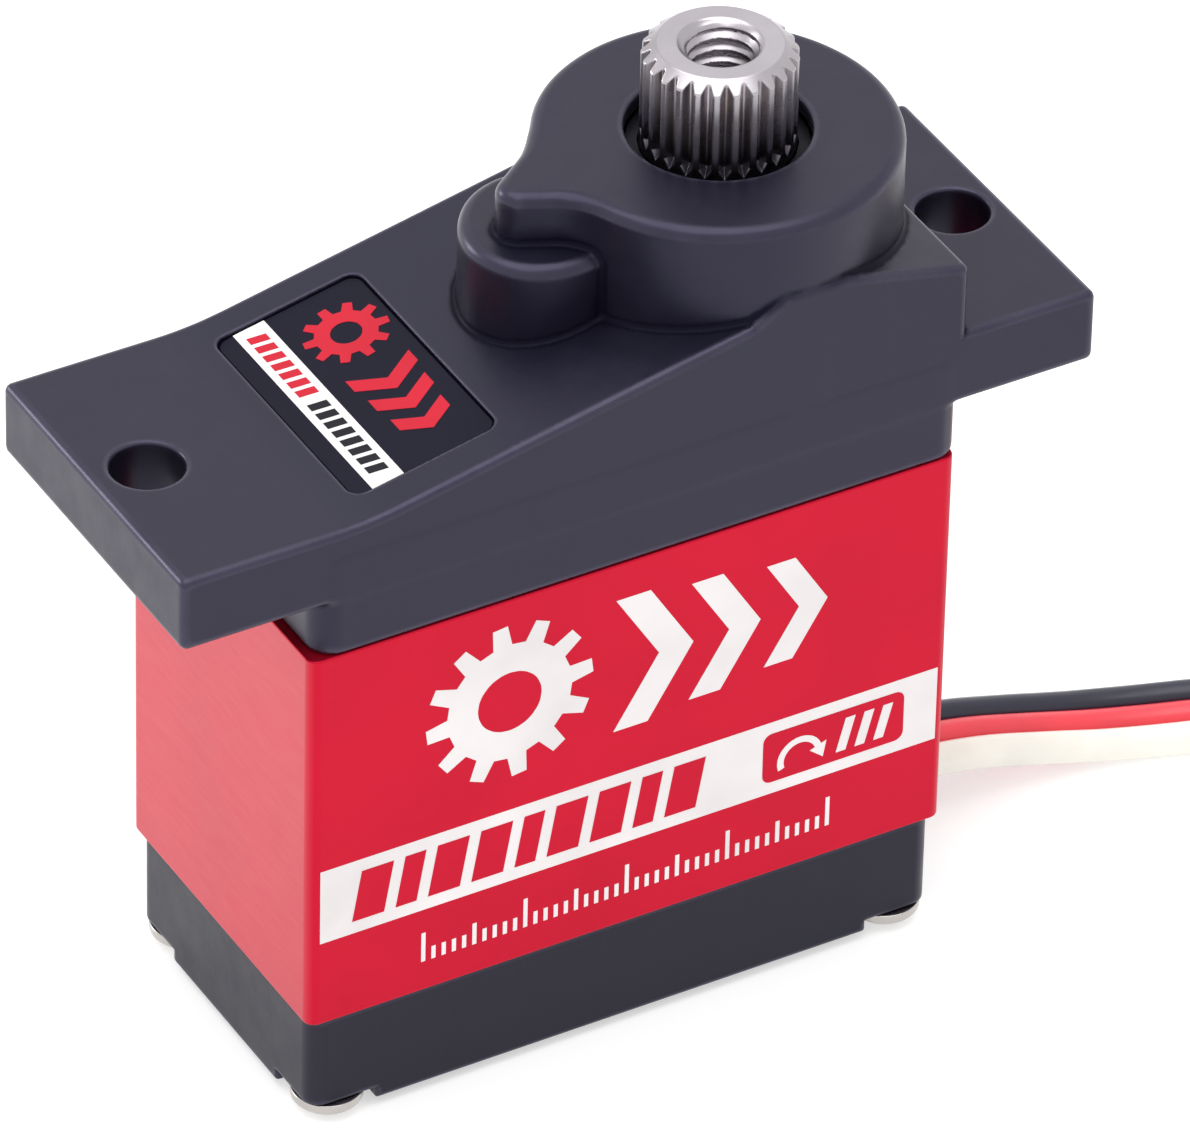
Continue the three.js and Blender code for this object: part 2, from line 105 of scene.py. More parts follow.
def arc(centre, a0, a1, n, za, zb, z_from=0.0, z_to=1.0):
    rows = []
    for i in range(n):
        f = i / (n - 1)
        a = math.radians(a0 + (a1 - a0) * f)
        g = min(max((f - z_from) / (z_to - z_from), 0), 1)
        rows.append([centre[0] + LOBE * math.cos(a), centre[1] + LOBE * math.sin(a), za + (zb - za) * g * g * (3 - 2 * g)])
    return rows


P = math.degrees(phi)
lb = CL + LOBE * np.array([math.sin(phi), -math.cos(phi)]); rt = CR + LOBE * np.array([-math.sin(phi), math.cos(phi)])
rb = CR + LOBE * np.array([-math.sin(phi), -math.cos(phi)]); lt = CL + LOBE * np.array([math.sin(phi), math.cos(phi)])


def run(a, b, heights):
    return [[a[0] + (b[0] - a[0]) * f, a[1] + (b[1] - a[1]) * f, z] for f, z in heights]


HANK = [[33.4, -4.22, 0.57], [36.2, -4.24, 0.57]]
HANK += run(lb, rt, [(0.0, .57), (.15, .58), (.3, .92), (.42, 1.05), (.58, 1.05), (.7, .92), (.85, .58)])
HANK += arc(CR, 90 + P, -90 - P, 13, .57, .57)
HANK += run(rb, lt, [(.12, .60), (.24, 1.3), (.34, 2.05), (.45, 2.20), (.55, 2.20), (.66, 2.05), (.76, 1.3), (.88, .60)])
HANK += arc(CL, 90 - P, 270 + P, 13, .57, 1.72, 0.05, 0.42)
HANK += run(lb, rt, [(.12, 1.73), (.22, 2.2), (.34, 3.2), (.45, 3.36), (.55, 3.36), (.66, 3.15), (.76, 2.2)])
HANK += [[54.6, 2.45, 1.74], [56.8, 2.72, 1.72], [59.2, 2.35, 1.72], [61.6, 1.4, 1.72], [63.2, 0.68, 1.72]]
TAIL = [[64.5, 0.25, 1.72, 1], [66.3, 0.0, 1.62, 1.05], [68.2, -0.03, 1.45, 1.5], [69.8, 0, 1.33, 2.0], [70.9, 0, 1.3, 2.27], [72.6, 0, 1.3, 2.27], [74.6, 0, 1.3, 2.27]]
ROUTE = np.array([p + [1.0] * (4 - len(p)) for p in LEAD + HANK + TAIL])


def wire_line(k):
    line = catmull(ROUTE, 6)
    d = np.gradient(line[:, :2], axis=0)
    d /= np.linalg.norm(d, axis=1)[:, None]
    o = k * PITCH * line[:, 3]
    return np.stack([line[:, 0] - o * d[:, 1], line[:, 1] + o * d[:, 0], line[:, 2]], 1)


def curve_piece(name, line, radius, resolution=5):
    c = bpy.data.curves.new(name, "CURVE")
    c.dimensions = "3D"
    c.bevel_depth = 1.0               # times each point's own radius
    c.bevel_resolution = resolution
    c.use_fill_caps = True
    s = c.splines.new("POLY")
    s.points.add(len(line) - 1)
    for q, p in zip(s.points, line):
        q.co = (p[0] * MM, p[1] * MM, p[2] * MM, 1)
        q.radius = radius * MM
    s.use_smooth = True
    o = bpy.data.objects.new(name, c)
    scene.collection.objects.link(o)
    return o


wires, wire_lengths = {}, {}
for name, k in (("black", 1), ("red", 0), ("white", -1)):
    line = wire_line(k)
    wires[name] = curve_piece(f"lead_{name}", line, WIRE_D / 2)
    wire_lengths[name] = float(np.linalg.norm(np.diff(line, axis=0), axis=1).sum())


# ------------------------------------------------------------------ solids from distance fields
def smin(a, b, k):
    h = np.maximum(k - np.abs(a - b), 0) / k
    return np.minimum(a, b) - h * h * k * 0.25


def smax(a, b, k):
    return -smin(-a, -b, k)


def edge(a, b, r):
    a, b = a + r, b + r
    return np.minimum(np.maximum(a, b), 0) + np.hypot(np.maximum(a, 0), np.maximum(b, 0)) - r


def edge3(a, b, c, r):
    a, b, c = a + r, b + r, c + r
    return np.minimum(np.maximum(np.maximum(a, b), c), 0) + np.sqrt(np.maximum(a, 0) ** 2 + np.maximum(b, 0) ** 2 + np.maximum(c, 0) ** 2) - r


def slab(v, lo, hi):
    return np.abs(v - (lo + hi) / 2) - (hi - lo) / 2


def rod(x, y, z, cx, cy, r, z0, z1, e=0.0):
    return edge(np.hypot(x - cx, y - cy) - r, slab(z, z0, z1), e)


def rect2(u, v, hu, hv, r):
    a, b = np.abs(u) - hu + r, np.abs(v) - hv + r
    return np.minimum(np.maximum(a, b), 0) + np.hypot(np.maximum(a, 0), np.maximum(b, 0)) - r


def brick(x, y, z, x0, x1, y0, y1, z0, z1, e=0.0):
    return edge3(slab(x, x0, x1), slab(y, y0, y1), slab(z, z0, z1), e)


def poly2(px, pz, pts):
    d, s = None, None
    n = len(pts)
    for i in range(n):
        ax, az = pts[i]
        bx, bz = pts[(i + 1) % n]
        ex, ez = bx - ax, bz - az
        wx, wz = px - ax, pz - az
        t = np.clip((wx * ex + wz * ez) / (ex * ex + ez * ez), 0, 1)
        q = (wx - ex * t) ** 2 + (wz - ez * t) ** 2
        d = q if d is None else np.minimum(d, q)
        c = ((az <= pz) & (bz > pz) | (az > pz) & (bz <= pz)) & (ex * wz * (1 if ez > 0 else -1) > ez * wx * (1 if ez > 0 else -1))
        s = c if s is None else s ^ c
    return np.sqrt(d) * np.where(s, -1.0, 1.0)


def inset(pts, r):
    p = np.array(pts, float)
    area = 0.5 * np.sum(p[:, 0] * np.roll(p[:, 1], -1) - np.roll(p[:, 0], -1) * p[:, 1])
    if area < 0:
        p = p[::-1]
    e = np.roll(p, -1, 0) - p
    n = np.stack([-e[:, 1], e[:, 0]], 1) / np.linalg.norm(e, axis=1)[:, None]   # inward
    out = []
    for i in range(len(p)):
        a, b = n[i - 1], n[i]
        out.append(p[i] + (a + b) / (1 + a @ b) * r)
    return out


def axis_points(*spans):
    """(start, end, pitch) spans, one after the other."""
    out = []
    for a, b, h in spans:
        n = max(1, int(round((b - a) / h)))
        out += list(np.linspace(a, b, n, endpoint=False))
    out.append(spans[-1][1])
    return np.array(out)


def nets(f, xs, ys, zs, steps=4, eps=0.004):
    """The zero surface of f as quads, each vertex moved onto the field, and the field's normals."""
    F = np.asarray(f(xs[:, None, None], ys[None, :, None], zs[None, None, :]), np.float32)
    F = np.broadcast_to(F, (len(xs), len(ys), len(zs)))
    inside = F < 0
    n = np.zeros(tuple(s - 1 for s in F.shape), np.int8)
    for i in (0, 1):
        for j in (0, 1):
            for k in (0, 1):
                n += inside[i:F.shape[0] - 1 + i, j:F.shape[1] - 1 + j, k:F.shape[2] - 1 + k]
    mixed = (n > 0) & (n < 8)
    idx = np.full(n.shape, -1, np.int64)
    idx[mixed] = np.arange(int(mixed.sum()))
    I, J, K = np.nonzero(mixed)
    C = {(i, j, k): F[I + i, J + j, K + k] for i in (0, 1) for j in (0, 1) for k in (0, 1)}
    X = [np.stack([xs[I], xs[I + 1]]), np.stack([ys[J], ys[J + 1]]), np.stack([zs[K], zs[K + 1]])]
    total, count = np.zeros((len(I), 3)), np.zeros(len(I))
    for axis in range(3):
        for a in (0, 1):
            for b in (0, 1):
                lo = [0, 0, 0]; o = [q for q in range(3) if q != axis]
                lo[o[0]], lo[o[1]] = a, b
                hi = list(lo); hi[axis] = 1
                fa, fb = C[tuple(lo)], C[tuple(hi)]
                hit = (fa < 0) != (fb < 0)
                t = np.where(hit, fa / np.where(hit, fa - fb, 1), 0)
                p = np.zeros((len(I), 3))
                p[:, axis] = X[axis][0] + t * (X[axis][1] - X[axis][0])
                p[:, o[0]] = X[o[0]][a]
                p[:, o[1]] = X[o[1]][b]
                total += p * hit[:, None]
                count += hit
    V = total / count[:, None]
    quads = []
    s = inside
    for axis in range(3):
        a = [slice(None)] * 3; b = [slice(None)] * 3
        o = [q for q in range(3) if q != axis]
        a[axis], b[axis] = slice(0, -1), slice(1, None)
        for q in o:
            a[q] = b[q] = slice(1, -1)
        sa, sb = s[tuple(a)], s[tuple(b)]
        for cond, flip in ((sa & ~sb, False), (~sa & sb, True)):
            e = np.array(np.nonzero(cond))
            base = e.copy()
            base[o[0]] += 1; base[o[1]] += 1
            ring = []
            for du, dv in ((-1, -1), (0, -1), (0, 0), (-1, 0)):
                c = base.copy(); c[o[0]] += du; c[o[1]] += dv
                ring.append(idx[c[0], c[1], c[2]])
            ring = np.stack(ring, 1)
            if flip != (axis == 1):
                ring = ring[:, ::-1]
            quads.append(ring)
    Q = np.concatenate(quads)
    k = np.array([[1, 1, 1], [1, -1, -1], [-1, 1, -1], [-1, -1, 1]], float)

    def probe(p):
        vals = [f(p[:, 0] + eps * d[0], p[:, 1] + eps * d[1], p[:, 2] + eps * d[2]) for d in k]
        g = sum(v[:, None] * d[None, :] for v, d in zip(vals, k)) / (4 * eps)
        return sum(vals) / 4, g

    cell = np.stack([X[q][1] - X[q][0] for q in range(3)], 1)
    home = V.copy()
    for _ in range(steps):
        v, g = probe(V)
        step = -(v / np.maximum((g * g).sum(1), 0.2))[:, None] * g
        V = home + np.clip(V + step - home, -cell * 0.75, cell * 0.75)
    v, g = probe(V)
    g /= np.maximum(np.linalg.norm(g, axis=1), 1e-9)[:, None]
    return V, Q, g


def mesh_piece(name, V, Q, normals=None, shift=(CASE_X, 0, 0), smooth=True):
    V = np.asarray(V, float) + np.array(shift)
    me = bpy.data.meshes.new(name)
    me.from_pydata((V * MM).tolist(), [], [list(map(int, q)) for q in Q])
    if smooth:
        me.polygons.foreach_set("use_smooth", np.ones(len(me.polygons), bool))
    me.update()
    if normals is not None:
        me.normals_split_custom_set_from_vertices(np.asarray(normals).tolist())
    o = bpy.data.objects.new(name, me)
    scene.collection.objects.link(o)
    return o


def wear_highlight_shade_masks(o, V, Q, g, full):
    """Point attributes from 0 on flats to 1: wear and a painted highlight on convex edges sharper than a radius of
    about full mm, painted shade in inside corners.
    """
    E = np.concatenate([Q[:, [0, 1]], Q[:, [1, 2]], Q[:, [2, 3]], Q[:, [3, 0]]])
    d, n = V[E[:, 1]] - V[E[:, 0]], g[E[:, 1]] - g[E[:, 0]]
    k = (d * n).sum(1) / np.maximum((d * d).sum(1), 1e-6)
    w = np.zeros(len(V)); c = np.zeros(len(V))
    for q in (0, 1):
        np.add.at(w, E[:, q], k); np.add.at(c, E[:, q], 1)
    w = w / np.maximum(c, 1)
    for _ in range(2):
        a = np.zeros(len(V)); c = np.zeros(len(V))
        for q in (0, 1):
            np.add.at(a, E[:, q], w[E[:, 1 - q]]); np.add.at(c, E[:, q], 1)
        w = 0.5 * w + 0.5 * a / np.maximum(c, 1)
    w = w * full * 2
    o.data.attributes.new("wear_and_highlight", "FLOAT", "POINT").data.foreach_set("value", np.clip(w, 0, 1).astype(np.float32))
    o.data.attributes.new("crease_shade", "FLOAT", "POINT").data.foreach_set("value", np.clip(-w, 0, 1).astype(np.float32))


def field_piece(name, f, xs, ys, zs, wear_and_highlight=0.3, **kw):
    V, Q, g = nets(f, xs, ys, zs)
    print("FIELD", name, len(V), len(Q))
    o = mesh_piece(name, V, Q, g, **kw)
    wear_highlight_shade_masks(o, V, Q, g, wear_and_highlight)
    return o


# ------------------------------------------------------------------ upper case
def ramp_z(x):
    d = x - RAMP_X
    if d <= -RAMP_BLEND:
        return Z_LUG_HIGH
    if d >= RAMP_BLEND:
        return Z_LUG_HIGH + RAMP_SLOPE * d
    return Z_LUG_HIGH + RAMP_SLOPE * (d + RAMP_BLEND) ** 2 / (4 * RAMP_BLEND)


outline = [(LUG_LEFT, Z_LUG_LOW), (LUG_RIGHT, Z_LUG_LOW), (LUG_RIGHT, Z_LUG_HIGH), (SKIRT_RIGHT, Z_LUG_HIGH), (SKIRT_RIGHT, STEP_Z),
           (PLATEAU_X, PLATEAU_Z), (5.2, PLATEAU_Z)]
outline += [(x, ramp_z(x)) for x in (4.0, 0.0, -4.0)]
outline += [(RAMP_X + d, ramp_z(RAMP_X + d)) for d in np.linspace(1.24, -1.24, 11)] + [(LUG_LEFT, Z_LUG_HIGH)]
E_TOP = 0.27
outline_in = inset(outline, E_TOP)
TINY = 0.05


def wedge(x, y, turn, r0, r1, h):
    """A round tip of radius r0 at the origin, with straight sides out to a circle of radius r1 at distance h."""
    c, q = math.cos(turn), math.sin(turn)
    u, v = np.abs(-x * q + y * c), x * c + y * q
    b = (r0 - r1) / h
    a = math.sqrt(1 - b * b)
    k = -b * u + a * v
    return np.where(k < 0, np.hypot(u, v) - r0, np.where(k > a * h, np.hypot(u, v - h) - r1, u * a + v * b - r0))


def upper_case(x, y, z):
    prof = poly2(x, z, outline_in)
    a, b = prof, np.abs(y) - HALF_W + E_TOP
    body = np.minimum(np.maximum(a, b), 0) + np.hypot(np.maximum(a, 0), np.maximum(b, 0)) - E_TOP
    # the lug and the step behind the tower meet in a small fillet
    skirt = edge(rect2(x - (SKIRT_LEFT + SKIRT_RIGHT) / 2, y, (SKIRT_RIGHT - SKIRT_LEFT) / 2, HALF_W, 0.95), slab(z, Z_SEAM_HIGH + 0.03, 22.5), 0.10)
    body = smin(body, skirt, 0.22)
    # seen from above: the tower's circle, and a tongue whose round tip widens into it
    plan = smin(np.hypot(x - OUT_X, y) - TOWER_R, wedge(x + 1.0, y - 0.1, math.radians(5), 0.80, 2.35, 3.0), 0.7)
    gear_box = edge(plan, slab(z, 21.5, TOWER_TOP), 0.42)
    # the lower lobe, over the third gear
    lobe = smin(np.hypot(x - 0.1, y - 0.4) - 2.74, np.hypot(x - PIN_X, y) - 2.28, 0.4)
    lobe = edge(lobe, slab(z, 21.5, 28.02), 0.42)
    gear_box = smin(gear_box, lobe, 0.20)
    body = smin(body, gear_box, 0.18)
    body = smax(body, np.abs(y) - HALF_W, 0.05)
    body = np.maximum(body, z - TOWER_TOP)
    # openings
    cut = rod(x, y, z, HOLE_LEFT, 0, HOLE_R, 19, 25)
    cut = np.minimum(cut, rod(x, y, z, HOLE_RIGHT, 0, HOLE_R, 19, 25))
    body = smax(body, -cut, 0.16)
    hole = np.hypot(x - OUT_X, y) - TOWER_HOLE
    body = smax(body, -hole, 0.14)
    inner = rod(x, y, z, OUT_X, 0, 5.3, 17, 26.85)
    inner = np.minimum(inner, rod(x, y, z, PIN_X, 0, 5.3, 17, 23.70))
    inner = np.minimum(inner, rod(x, y, z, PIN_X, 0, 2.12, 17, 27.45))
    inner = np.minimum(inner, rod(x, y, z, PIN_X, 0, 0.58, 17, 29.15))
    inner = np.minimum(inner, rod(x, y, z, OUT_X, 0, 4.1, 17, 29.25))
    inner = np.minimum(inner, brick(x, y, z, -8.7, -3, -5.1, 5.1, 17, 22.4))
    for sx in (-1, 1):
        for sy in (-1, 1):
            inner = np.minimum(inner, rod(x, y, z, sx * SCREW_X, sy * SCREW_Y, 0.78, 17, 22.9))
    body = np.maximum(body, -inner)
    # the label's recess, square to the ramp
    dx, dz = x - LABEL_X, z - ramp_z(LABEL_X)
    ca, sa = math.cos(LABEL_A), math.sin(LABEL_A)
    u, w = dx * ca + dz * sa, -dx * sa + dz * ca
    recess = np.maximum(rect2(u, y - 0.08, 2.64, 4.66, 0.5), np.maximum(-(w + 0.2), w - 1.5))
    return smax(body, -recess, TINY)


fine = 1.0
upper = field_piece("upper_case_shell", upper_case,
    axis_points((-16.4, -9.6, .17 * fine), (-9.6, -9.2, .05 * fine), (-9.2, -4.5, .16 * fine), (-4.5, -4.05, .05 * fine), (-4.05, 12.1, .115 * fine), (12.1, 16.86, .16 * fine)),
    axis_points((-6.15, -4.8, .115 * fine), (-4.8, -4.35, .055 * fine), (-4.35, 4.5, .125 * fine), (4.5, 4.95, .055 * fine), (4.95, 6.15, .115 * fine)),
    axis_points((18.7, 23.2, .13 * fine), (23.2, 24.8, .06 * fine), (24.8, 30.0, .115 * fine)))
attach(upper, "case"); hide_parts("upper_case")


# ------------------------------------------------------------------ middle case: aluminium sleeve
def corner_posts(x, y, r):
    d = None
    for sx in (-1, 1):
        for sy in (-1, 1):
            q = np.hypot(x - sx * SCREW_X, y - sy * SCREW_Y) - r
            d = q if d is None else np.minimum(d, q)
    return d


def middle_case(x, y, z):
    body = edge(rect2(x, y, HALF_L, HALF_W, 0.42), slab(z, Z_SEAM_LOW + 0.03, Z_SEAM_HIGH - 0.03), 0.07)
    well = np.maximum(np.maximum(slab(x, -10.76, 10.76), slab(y, -5.1, 5.1)), slab(z, 3, 17.25))
    well = np.maximum(well, -corner_posts(x, y, 1.3))
    well = np.minimum(well, rod(x, y, z, MOTOR_X, 0, 1.4, 16, 21))
    well = np.minimum(well, rod(x, y, z, OUT_X, 0, 2.58, 16, 21))
    well = np.minimum(well, rod(x, y, z, PIN_X, 0, 0.58, 17.85, 21))
    well = np.minimum(well, corner_posts(x, y, 0.78))
    return smax(body, -well, 0.06)


middle = field_piece("middle_case_sleeve", middle_case,
    axis_points((-11.8, -11.2, .055 * fine), (-11.2, -8.6, .17 * fine), (-8.6, 8.6, .27 * fine), (8.6, 11.2, .17 * fine), (11.2, 11.8, .055 * fine)),
    axis_points((-6.1, -5.5, .055 * fine), (-5.5, -3.2, .17 * fine), (-3.2, 3.2, .25 * fine), (3.2, 5.5, .17 * fine), (5.5, 6.1, .055 * fine)),
    axis_points((4.2, 4.6, .04 * fine), (4.6, 16.9, .6), (16.9, 18.5, .12 * fine), (18.5, 18.95, .04 * fine)))
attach(middle, "case"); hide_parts("middle_case")


# ------------------------------------------------------------------ lower cover
CX, CY = HALF_L - 0.2, HALF_W - 0.2


def lower_cover(x, y, z):
    body = edge(rect2(x, y, CX, CY, 0.62), slab(z, 0.30, Z_SEAM_LOW - 0.03), 0.16)
    ax, ay = np.abs(x), np.abs(y)
    notch = np.maximum(np.maximum(9.08 - ax, 3.5 - ay), z - 0.76)
    body = smax(body, -notch, 0.10)
    well = np.maximum(np.maximum(np.maximum(ax - 10.5, ay - 4.9), -corner_posts(x, y, 1.3)), slab(z, 1.3, 6))
    well = np.minimum(well, corner_posts(x, y, 0.78))
    gate = np.maximum(np.maximum(slab(x, 10, 13), ay - 1.98), slab(z, EXIT_Z - 0.82, EXIT_Z + 0.82))
    return smax(smax(body, -well, 0.05), -gate, 0.10)


cover = field_piece("lower_cover_shell", lower_cover,
    axis_points((-11.62, -8.8, .10 * fine), (-8.8, 8.8, .22 * fine), (8.8, 11.62, .10 * fine)),
    axis_points((-5.92, -3.2, .10 * fine), (-3.2, 3.2, .13 * fine), (3.2, 5.92, .10 * fine)),
    axis_points((0.2, 1.0, .07 * fine), (1.0, 3.9, .12 * fine), (3.9, 4.4, .06 * fine)))
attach(cover, "case"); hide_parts("lower_cover")


# ------------------------------------------------------------------ case screws: domed head with a cross recess, threaded shank
def screw(x, y, z):
    r = np.hypot(x, y)
    dome = np.sqrt(x * x + y * y + (z - 2.02) ** 2) - 2.02
    head = smax(smax(dome, r - 1.2, 0.10), z - 0.73, 0.05)
    cross = np.minimum(edge(np.abs(x) - 0.13, np.abs(y) - 0.68, 0.02), edge(np.abs(y) - 0.13, np.abs(x) - 0.68, 0.02))
    cross = np.maximum(cross, (r - 0.70 + z * 0.9) * 0.74)
    head = smax(head, -np.maximum(cross, z - 0.42), 0.04)
    turn = (z / 0.4 - np.arctan2(y, x) / (2 * math.pi)) % 1.0
    depth = 0.16 * np.minimum(np.abs(turn * 2 - 1) * 1.5, 1.0) * np.clip((z - 16.6) / 0.8, 0, 1)
    shank = (np.maximum(r - 0.62 + depth, slab(z, 0.4, 22.7)))
    point = (r - 0.62 + (z - 22.1) * 0.55) * 0.85
    return smin(head, np.maximum(shank, point) * 0.8, 0.06)


V, Q, g = nets(screw, axis_points((-1.3, 1.3, .05 * fine)), axis_points((-1.3, 1.3, .05 * fine)), axis_points((-0.05, 0.9, .045 * fine), (0.9, 16.5, 1.3), (16.5, 22.9, .07 * fine)))
print("FIELD screw", len(V), len(Q))
screws = []
for i, (sx, sy) in enumerate(((-1, -1), (1, -1), (1, 1), (-1, 1))):
    a = math.radians((23, 61, 8, 40)[i])
    rot = np.array([[math.cos(a), -math.sin(a), 0], [math.sin(a), math.cos(a), 0], [0, 0, 1]])
    o = mesh_piece(f"pan_screw_{i + 1}", V @ rot.T + np.array([sx * SCREW_X, sy * SCREW_Y, 0]), Q, g @ rot.T)
    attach(o, "case"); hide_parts(f"case_screw_{i + 1}")
    screws.append(o)


# ------------------------------------------------------------------ output shaft: spline, tapped hole, gear
def spline_field(x, y, z):
    dx = x - OUT_X
    r = np.hypot(dx, y)
    t = np.arctan2(y, dx) * 25 / (2 * math.pi) - 0.5
    t = np.abs(t - np.round(t)) / 25 * 2 * math.pi * r          # distance along the arc from the tooth's middle
    tooth = (t - 0.105 - (2.5 - r) * 0.42) * 0.90
    fade = np.clip((29.75 - z) * 0.9, 0, 1) * 0.55                 # the hob's run-out above the plain neck
    core = r - (2.2 + 0.30 * np.clip((29.75 - z) / 0.75, 0, 1) ** 1.6)
    crown = smax(r - 2.5, tooth - fade, 0.05)
    body = smin(core, crown, 0.05)
    cone = (r - 2.5 + (z - (SHAFT_TOP - 0.37)) * 1.30) * 0.61
    body = smax(body, cone, 0.03)
    body = np.maximum(body, r - 2.5)
    body = smax(body, z - SHAFT_TOP, 0.03)
    body = np.maximum(body, 29.0 - z)
    turn = (z / 0.45 + np.arctan2(y, dx) / (2 * math.pi)) % 1.0
    groove = 0.20 * (1 - np.minimum(np.abs(turn * 2 - 1) * 1.35, 1.0))
    mouth = np.clip((z - (SHAFT_TOP - 0.40)) / 0.40, 0, 1)
    bore = 1.04 + groove * (1 - mouth) + 0.34 * mouth ** 1.5
    return smax(body, (bore - r) * 0.8, 0.05)


top = nets(spline_field, axis_points((OUT_X - 2.64, OUT_X + 2.64, .042 * fine)), axis_points((-2.64, 2.64, .042 * fine)), axis_points((28.9, 30.1, .06 * fine), (30.1, SHAFT_TOP + 0.08, .042 * fine)))


def involute(teeth, mod, phase, add=0.85, ded=1.2, thin=0.03):
    press = math.radians(25)
    rp = mod * teeth / 2; rb = rp * math.cos(press); ra = rp + add * mod; rf = rp - ded * mod
    inv = lambda a: math.tan(a) - a
    half = math.pi / (2 * teeth) - thin / (2 * rp)
    at = lambda r: half + inv(press) - inv(math.acos(min(1, rb / r)))
    low = max(rb, rf + 0.01)
    pts = []
    for k in range(teeth):
        c = phase + 2 * math.pi * k / teeth
        one = [(rf, at(low) + 0.01 / rf)] + [(low + (ra - low) * i / 5, at(low + (ra - low) * i / 5)) for i in range(6)]
        pts += [(r * math.cos(c - a), r * math.sin(c - a)) for r, a in one]
        pts += [(r * math.cos(c + a), r * math.sin(c + a)) for r, a in one[::-1]]
    return pts


def turned(pairs, seg, cx, cy=0.0):
    """A closed turned shell about a vertical axis: pairs of radius and height, bottom to top."""
    V, Q = [], []
    rings = []
    for r, z in pairs:
        if r < 1e-6:
            rings.append([len(V)]); V.append((cx, cy, z))
        else:
            rings.append(list(range(len(V), len(V) + seg)))
            V += [(cx + r * math.cos(2 * math.pi * i / seg), cy + r * math.sin(2 * math.pi * i / seg), z) for i in range(seg)]
    for a, b in zip(rings, rings[1:]):
        for i in range(seg):
            j = (i + 1) % seg
            if len(a) == 1:
                Q.append((a[0], b[j], b[i]))
            elif len(b) == 1:
                Q.append((a[i], a[j], b[0]))
            else:
                Q.append((a[i], a[j], b[j], b[i]))
    return V, Q


def prism(points, z0, z1, chamfer=0.0, cx=0.0, cy=0.0, tip=None):
    """A closed prism of a star-shaped outline about its middle, its end faces fans, with chamfered ends."""
    p = np.array(points, float)
    n = len(p)
    levels = [(z0, 1 - chamfer), (z0 + chamfer * 3, 1.0), (z1 - chamfer * 3, 1.0), (z1, 1 - chamfer)] if chamfer else [(z0, 1.0), (z1, 1.0)]
    V = []
    for z, s in levels:
        V += [(cx + x * s, cy + y * s, z) for x, y in p]
    Q = []
    for l in range(len(levels) - 1):
        for i in range(n):
            j = (i + 1) % n
            Q.append((l * n + i, l * n + j, (l + 1) * n + j, (l + 1) * n + i))
    V += [(cx, cy, z0), (cx, cy, z1)]
    b, t = len(V) - 2, len(V) - 1
    last = (len(levels) - 1) * n
    for i in range(n):
        j = (i + 1) % n
        Q.append((b, j, i))
        Q.append((t, last + i, last + j))
    return V, Q


def together(*parts):
    V, Q = [], []
    for v, q in parts:
        k = len(V)
        V += [tuple(p) for p in v]
        Q += [tuple(int(i) + k for i in f) for f in q]
    return V, Q


def sharp_shade(o, angle=32):
    me = o.data
    me.polygons.foreach_set("use_smooth", np.ones(len(me.polygons), bool))
    bm = bmesh.new(); bm.from_mesh(me)
    for e in bm.edges:
        if len(e.link_faces) == 2 and e.calc_face_angle(0) > math.radians(angle):
            e.smooth = False
    bm.to_mesh(me); bm.free()


shaft_low = turned([(0, 13.0), (0.82, 13.0), (0.9, 13.08), (0.9, 17.2), (1.0, 17.2), (1.0, 23.95), (2.9, 23.95), (2.9, 27.0), (2.5, 27.0), (2.5, 29.0), (0, 29.0)], 64, OUT_X)
gear_low = prism(involute(32, 0.3, math.pi + math.pi / 32), 23.9, 26.5, 0.012, OUT_X)
shaft = mesh_piece("output_shaft", top[0], top[1], None)
V2, Q2 = together(shaft_low, gear_low)
low_part = mesh_piece("output_shaft_low", V2, Q2, None)
sharp_shade(low_part)
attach(low_part, "output"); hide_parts("output_gear")
me = shaft.data
me.normals_split_custom_set_from_vertices(top[2].tolist())
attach(shaft, "output"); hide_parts("output_gear")
print("FIELD shaft", len(top[0]), len(top[1]))


# ------------------------------------------------------------------ small bevelled pieces in mesh code
def outline_rect(hu, hv, r, n=6):
    out = []
    for cu, cv, a in ((hu - r, hv - r, 0), (-hu + r, hv - r, 90), (-hu + r, -hv + r, 180), (hu - r, -hv + r, 270)):
        for i in range(n + 1):
            t = math.radians(a + 90 * i / n)
            out.append((cu + r * math.cos(t), cv + r * math.sin(t)))
    return out


ON_RAMP = np.array([[math.cos(LABEL_A), 0, -math.sin(LABEL_A)], [0, 1, 0], [math.sin(LABEL_A), 0, math.cos(LABEL_A)]])
RAMP_AT = np.array([LABEL_X, 0.08, ramp_z(LABEL_X)])
# local (u, v, w) to the case frame, for the ramp and for the front of the sleeve
to_ramp = lambda p: np.asarray(p, float) @ ON_RAMP.T + RAMP_AT
to_front = lambda p: np.stack([np.asarray(p, float)[:, 0], -HALF_W - np.asarray(p, float)[:, 2], np.asarray(p, float)[:, 1]], 1)


def plate(points, w0, w1, c=0.0):
    """A thin closed plate of any simple outline, with a small bevel round its upper edge."""
    p = np.array(points, float)
    n = len(p)
    V = [(x, y, w0) for x, y in p] + [(x, y, w1 - c) for x, y in p]
    Q = [tuple(range(n))[::-1]]
    Q += [(i, (i + 1) % n, n + (i + 1) % n, n + i) for i in range(n)]
    if c:
        V += [(x, y, w1) for x, y in inset(p, c)]
        Q += [(n + i, n + (i + 1) % n, 2 * n + (i + 1) % n, 2 * n + i) for i in range(n)]
        Q.append(tuple(range(2 * n, 3 * n)))
    else:
        Q.append(tuple(range(n, 2 * n)))
    return V, Q


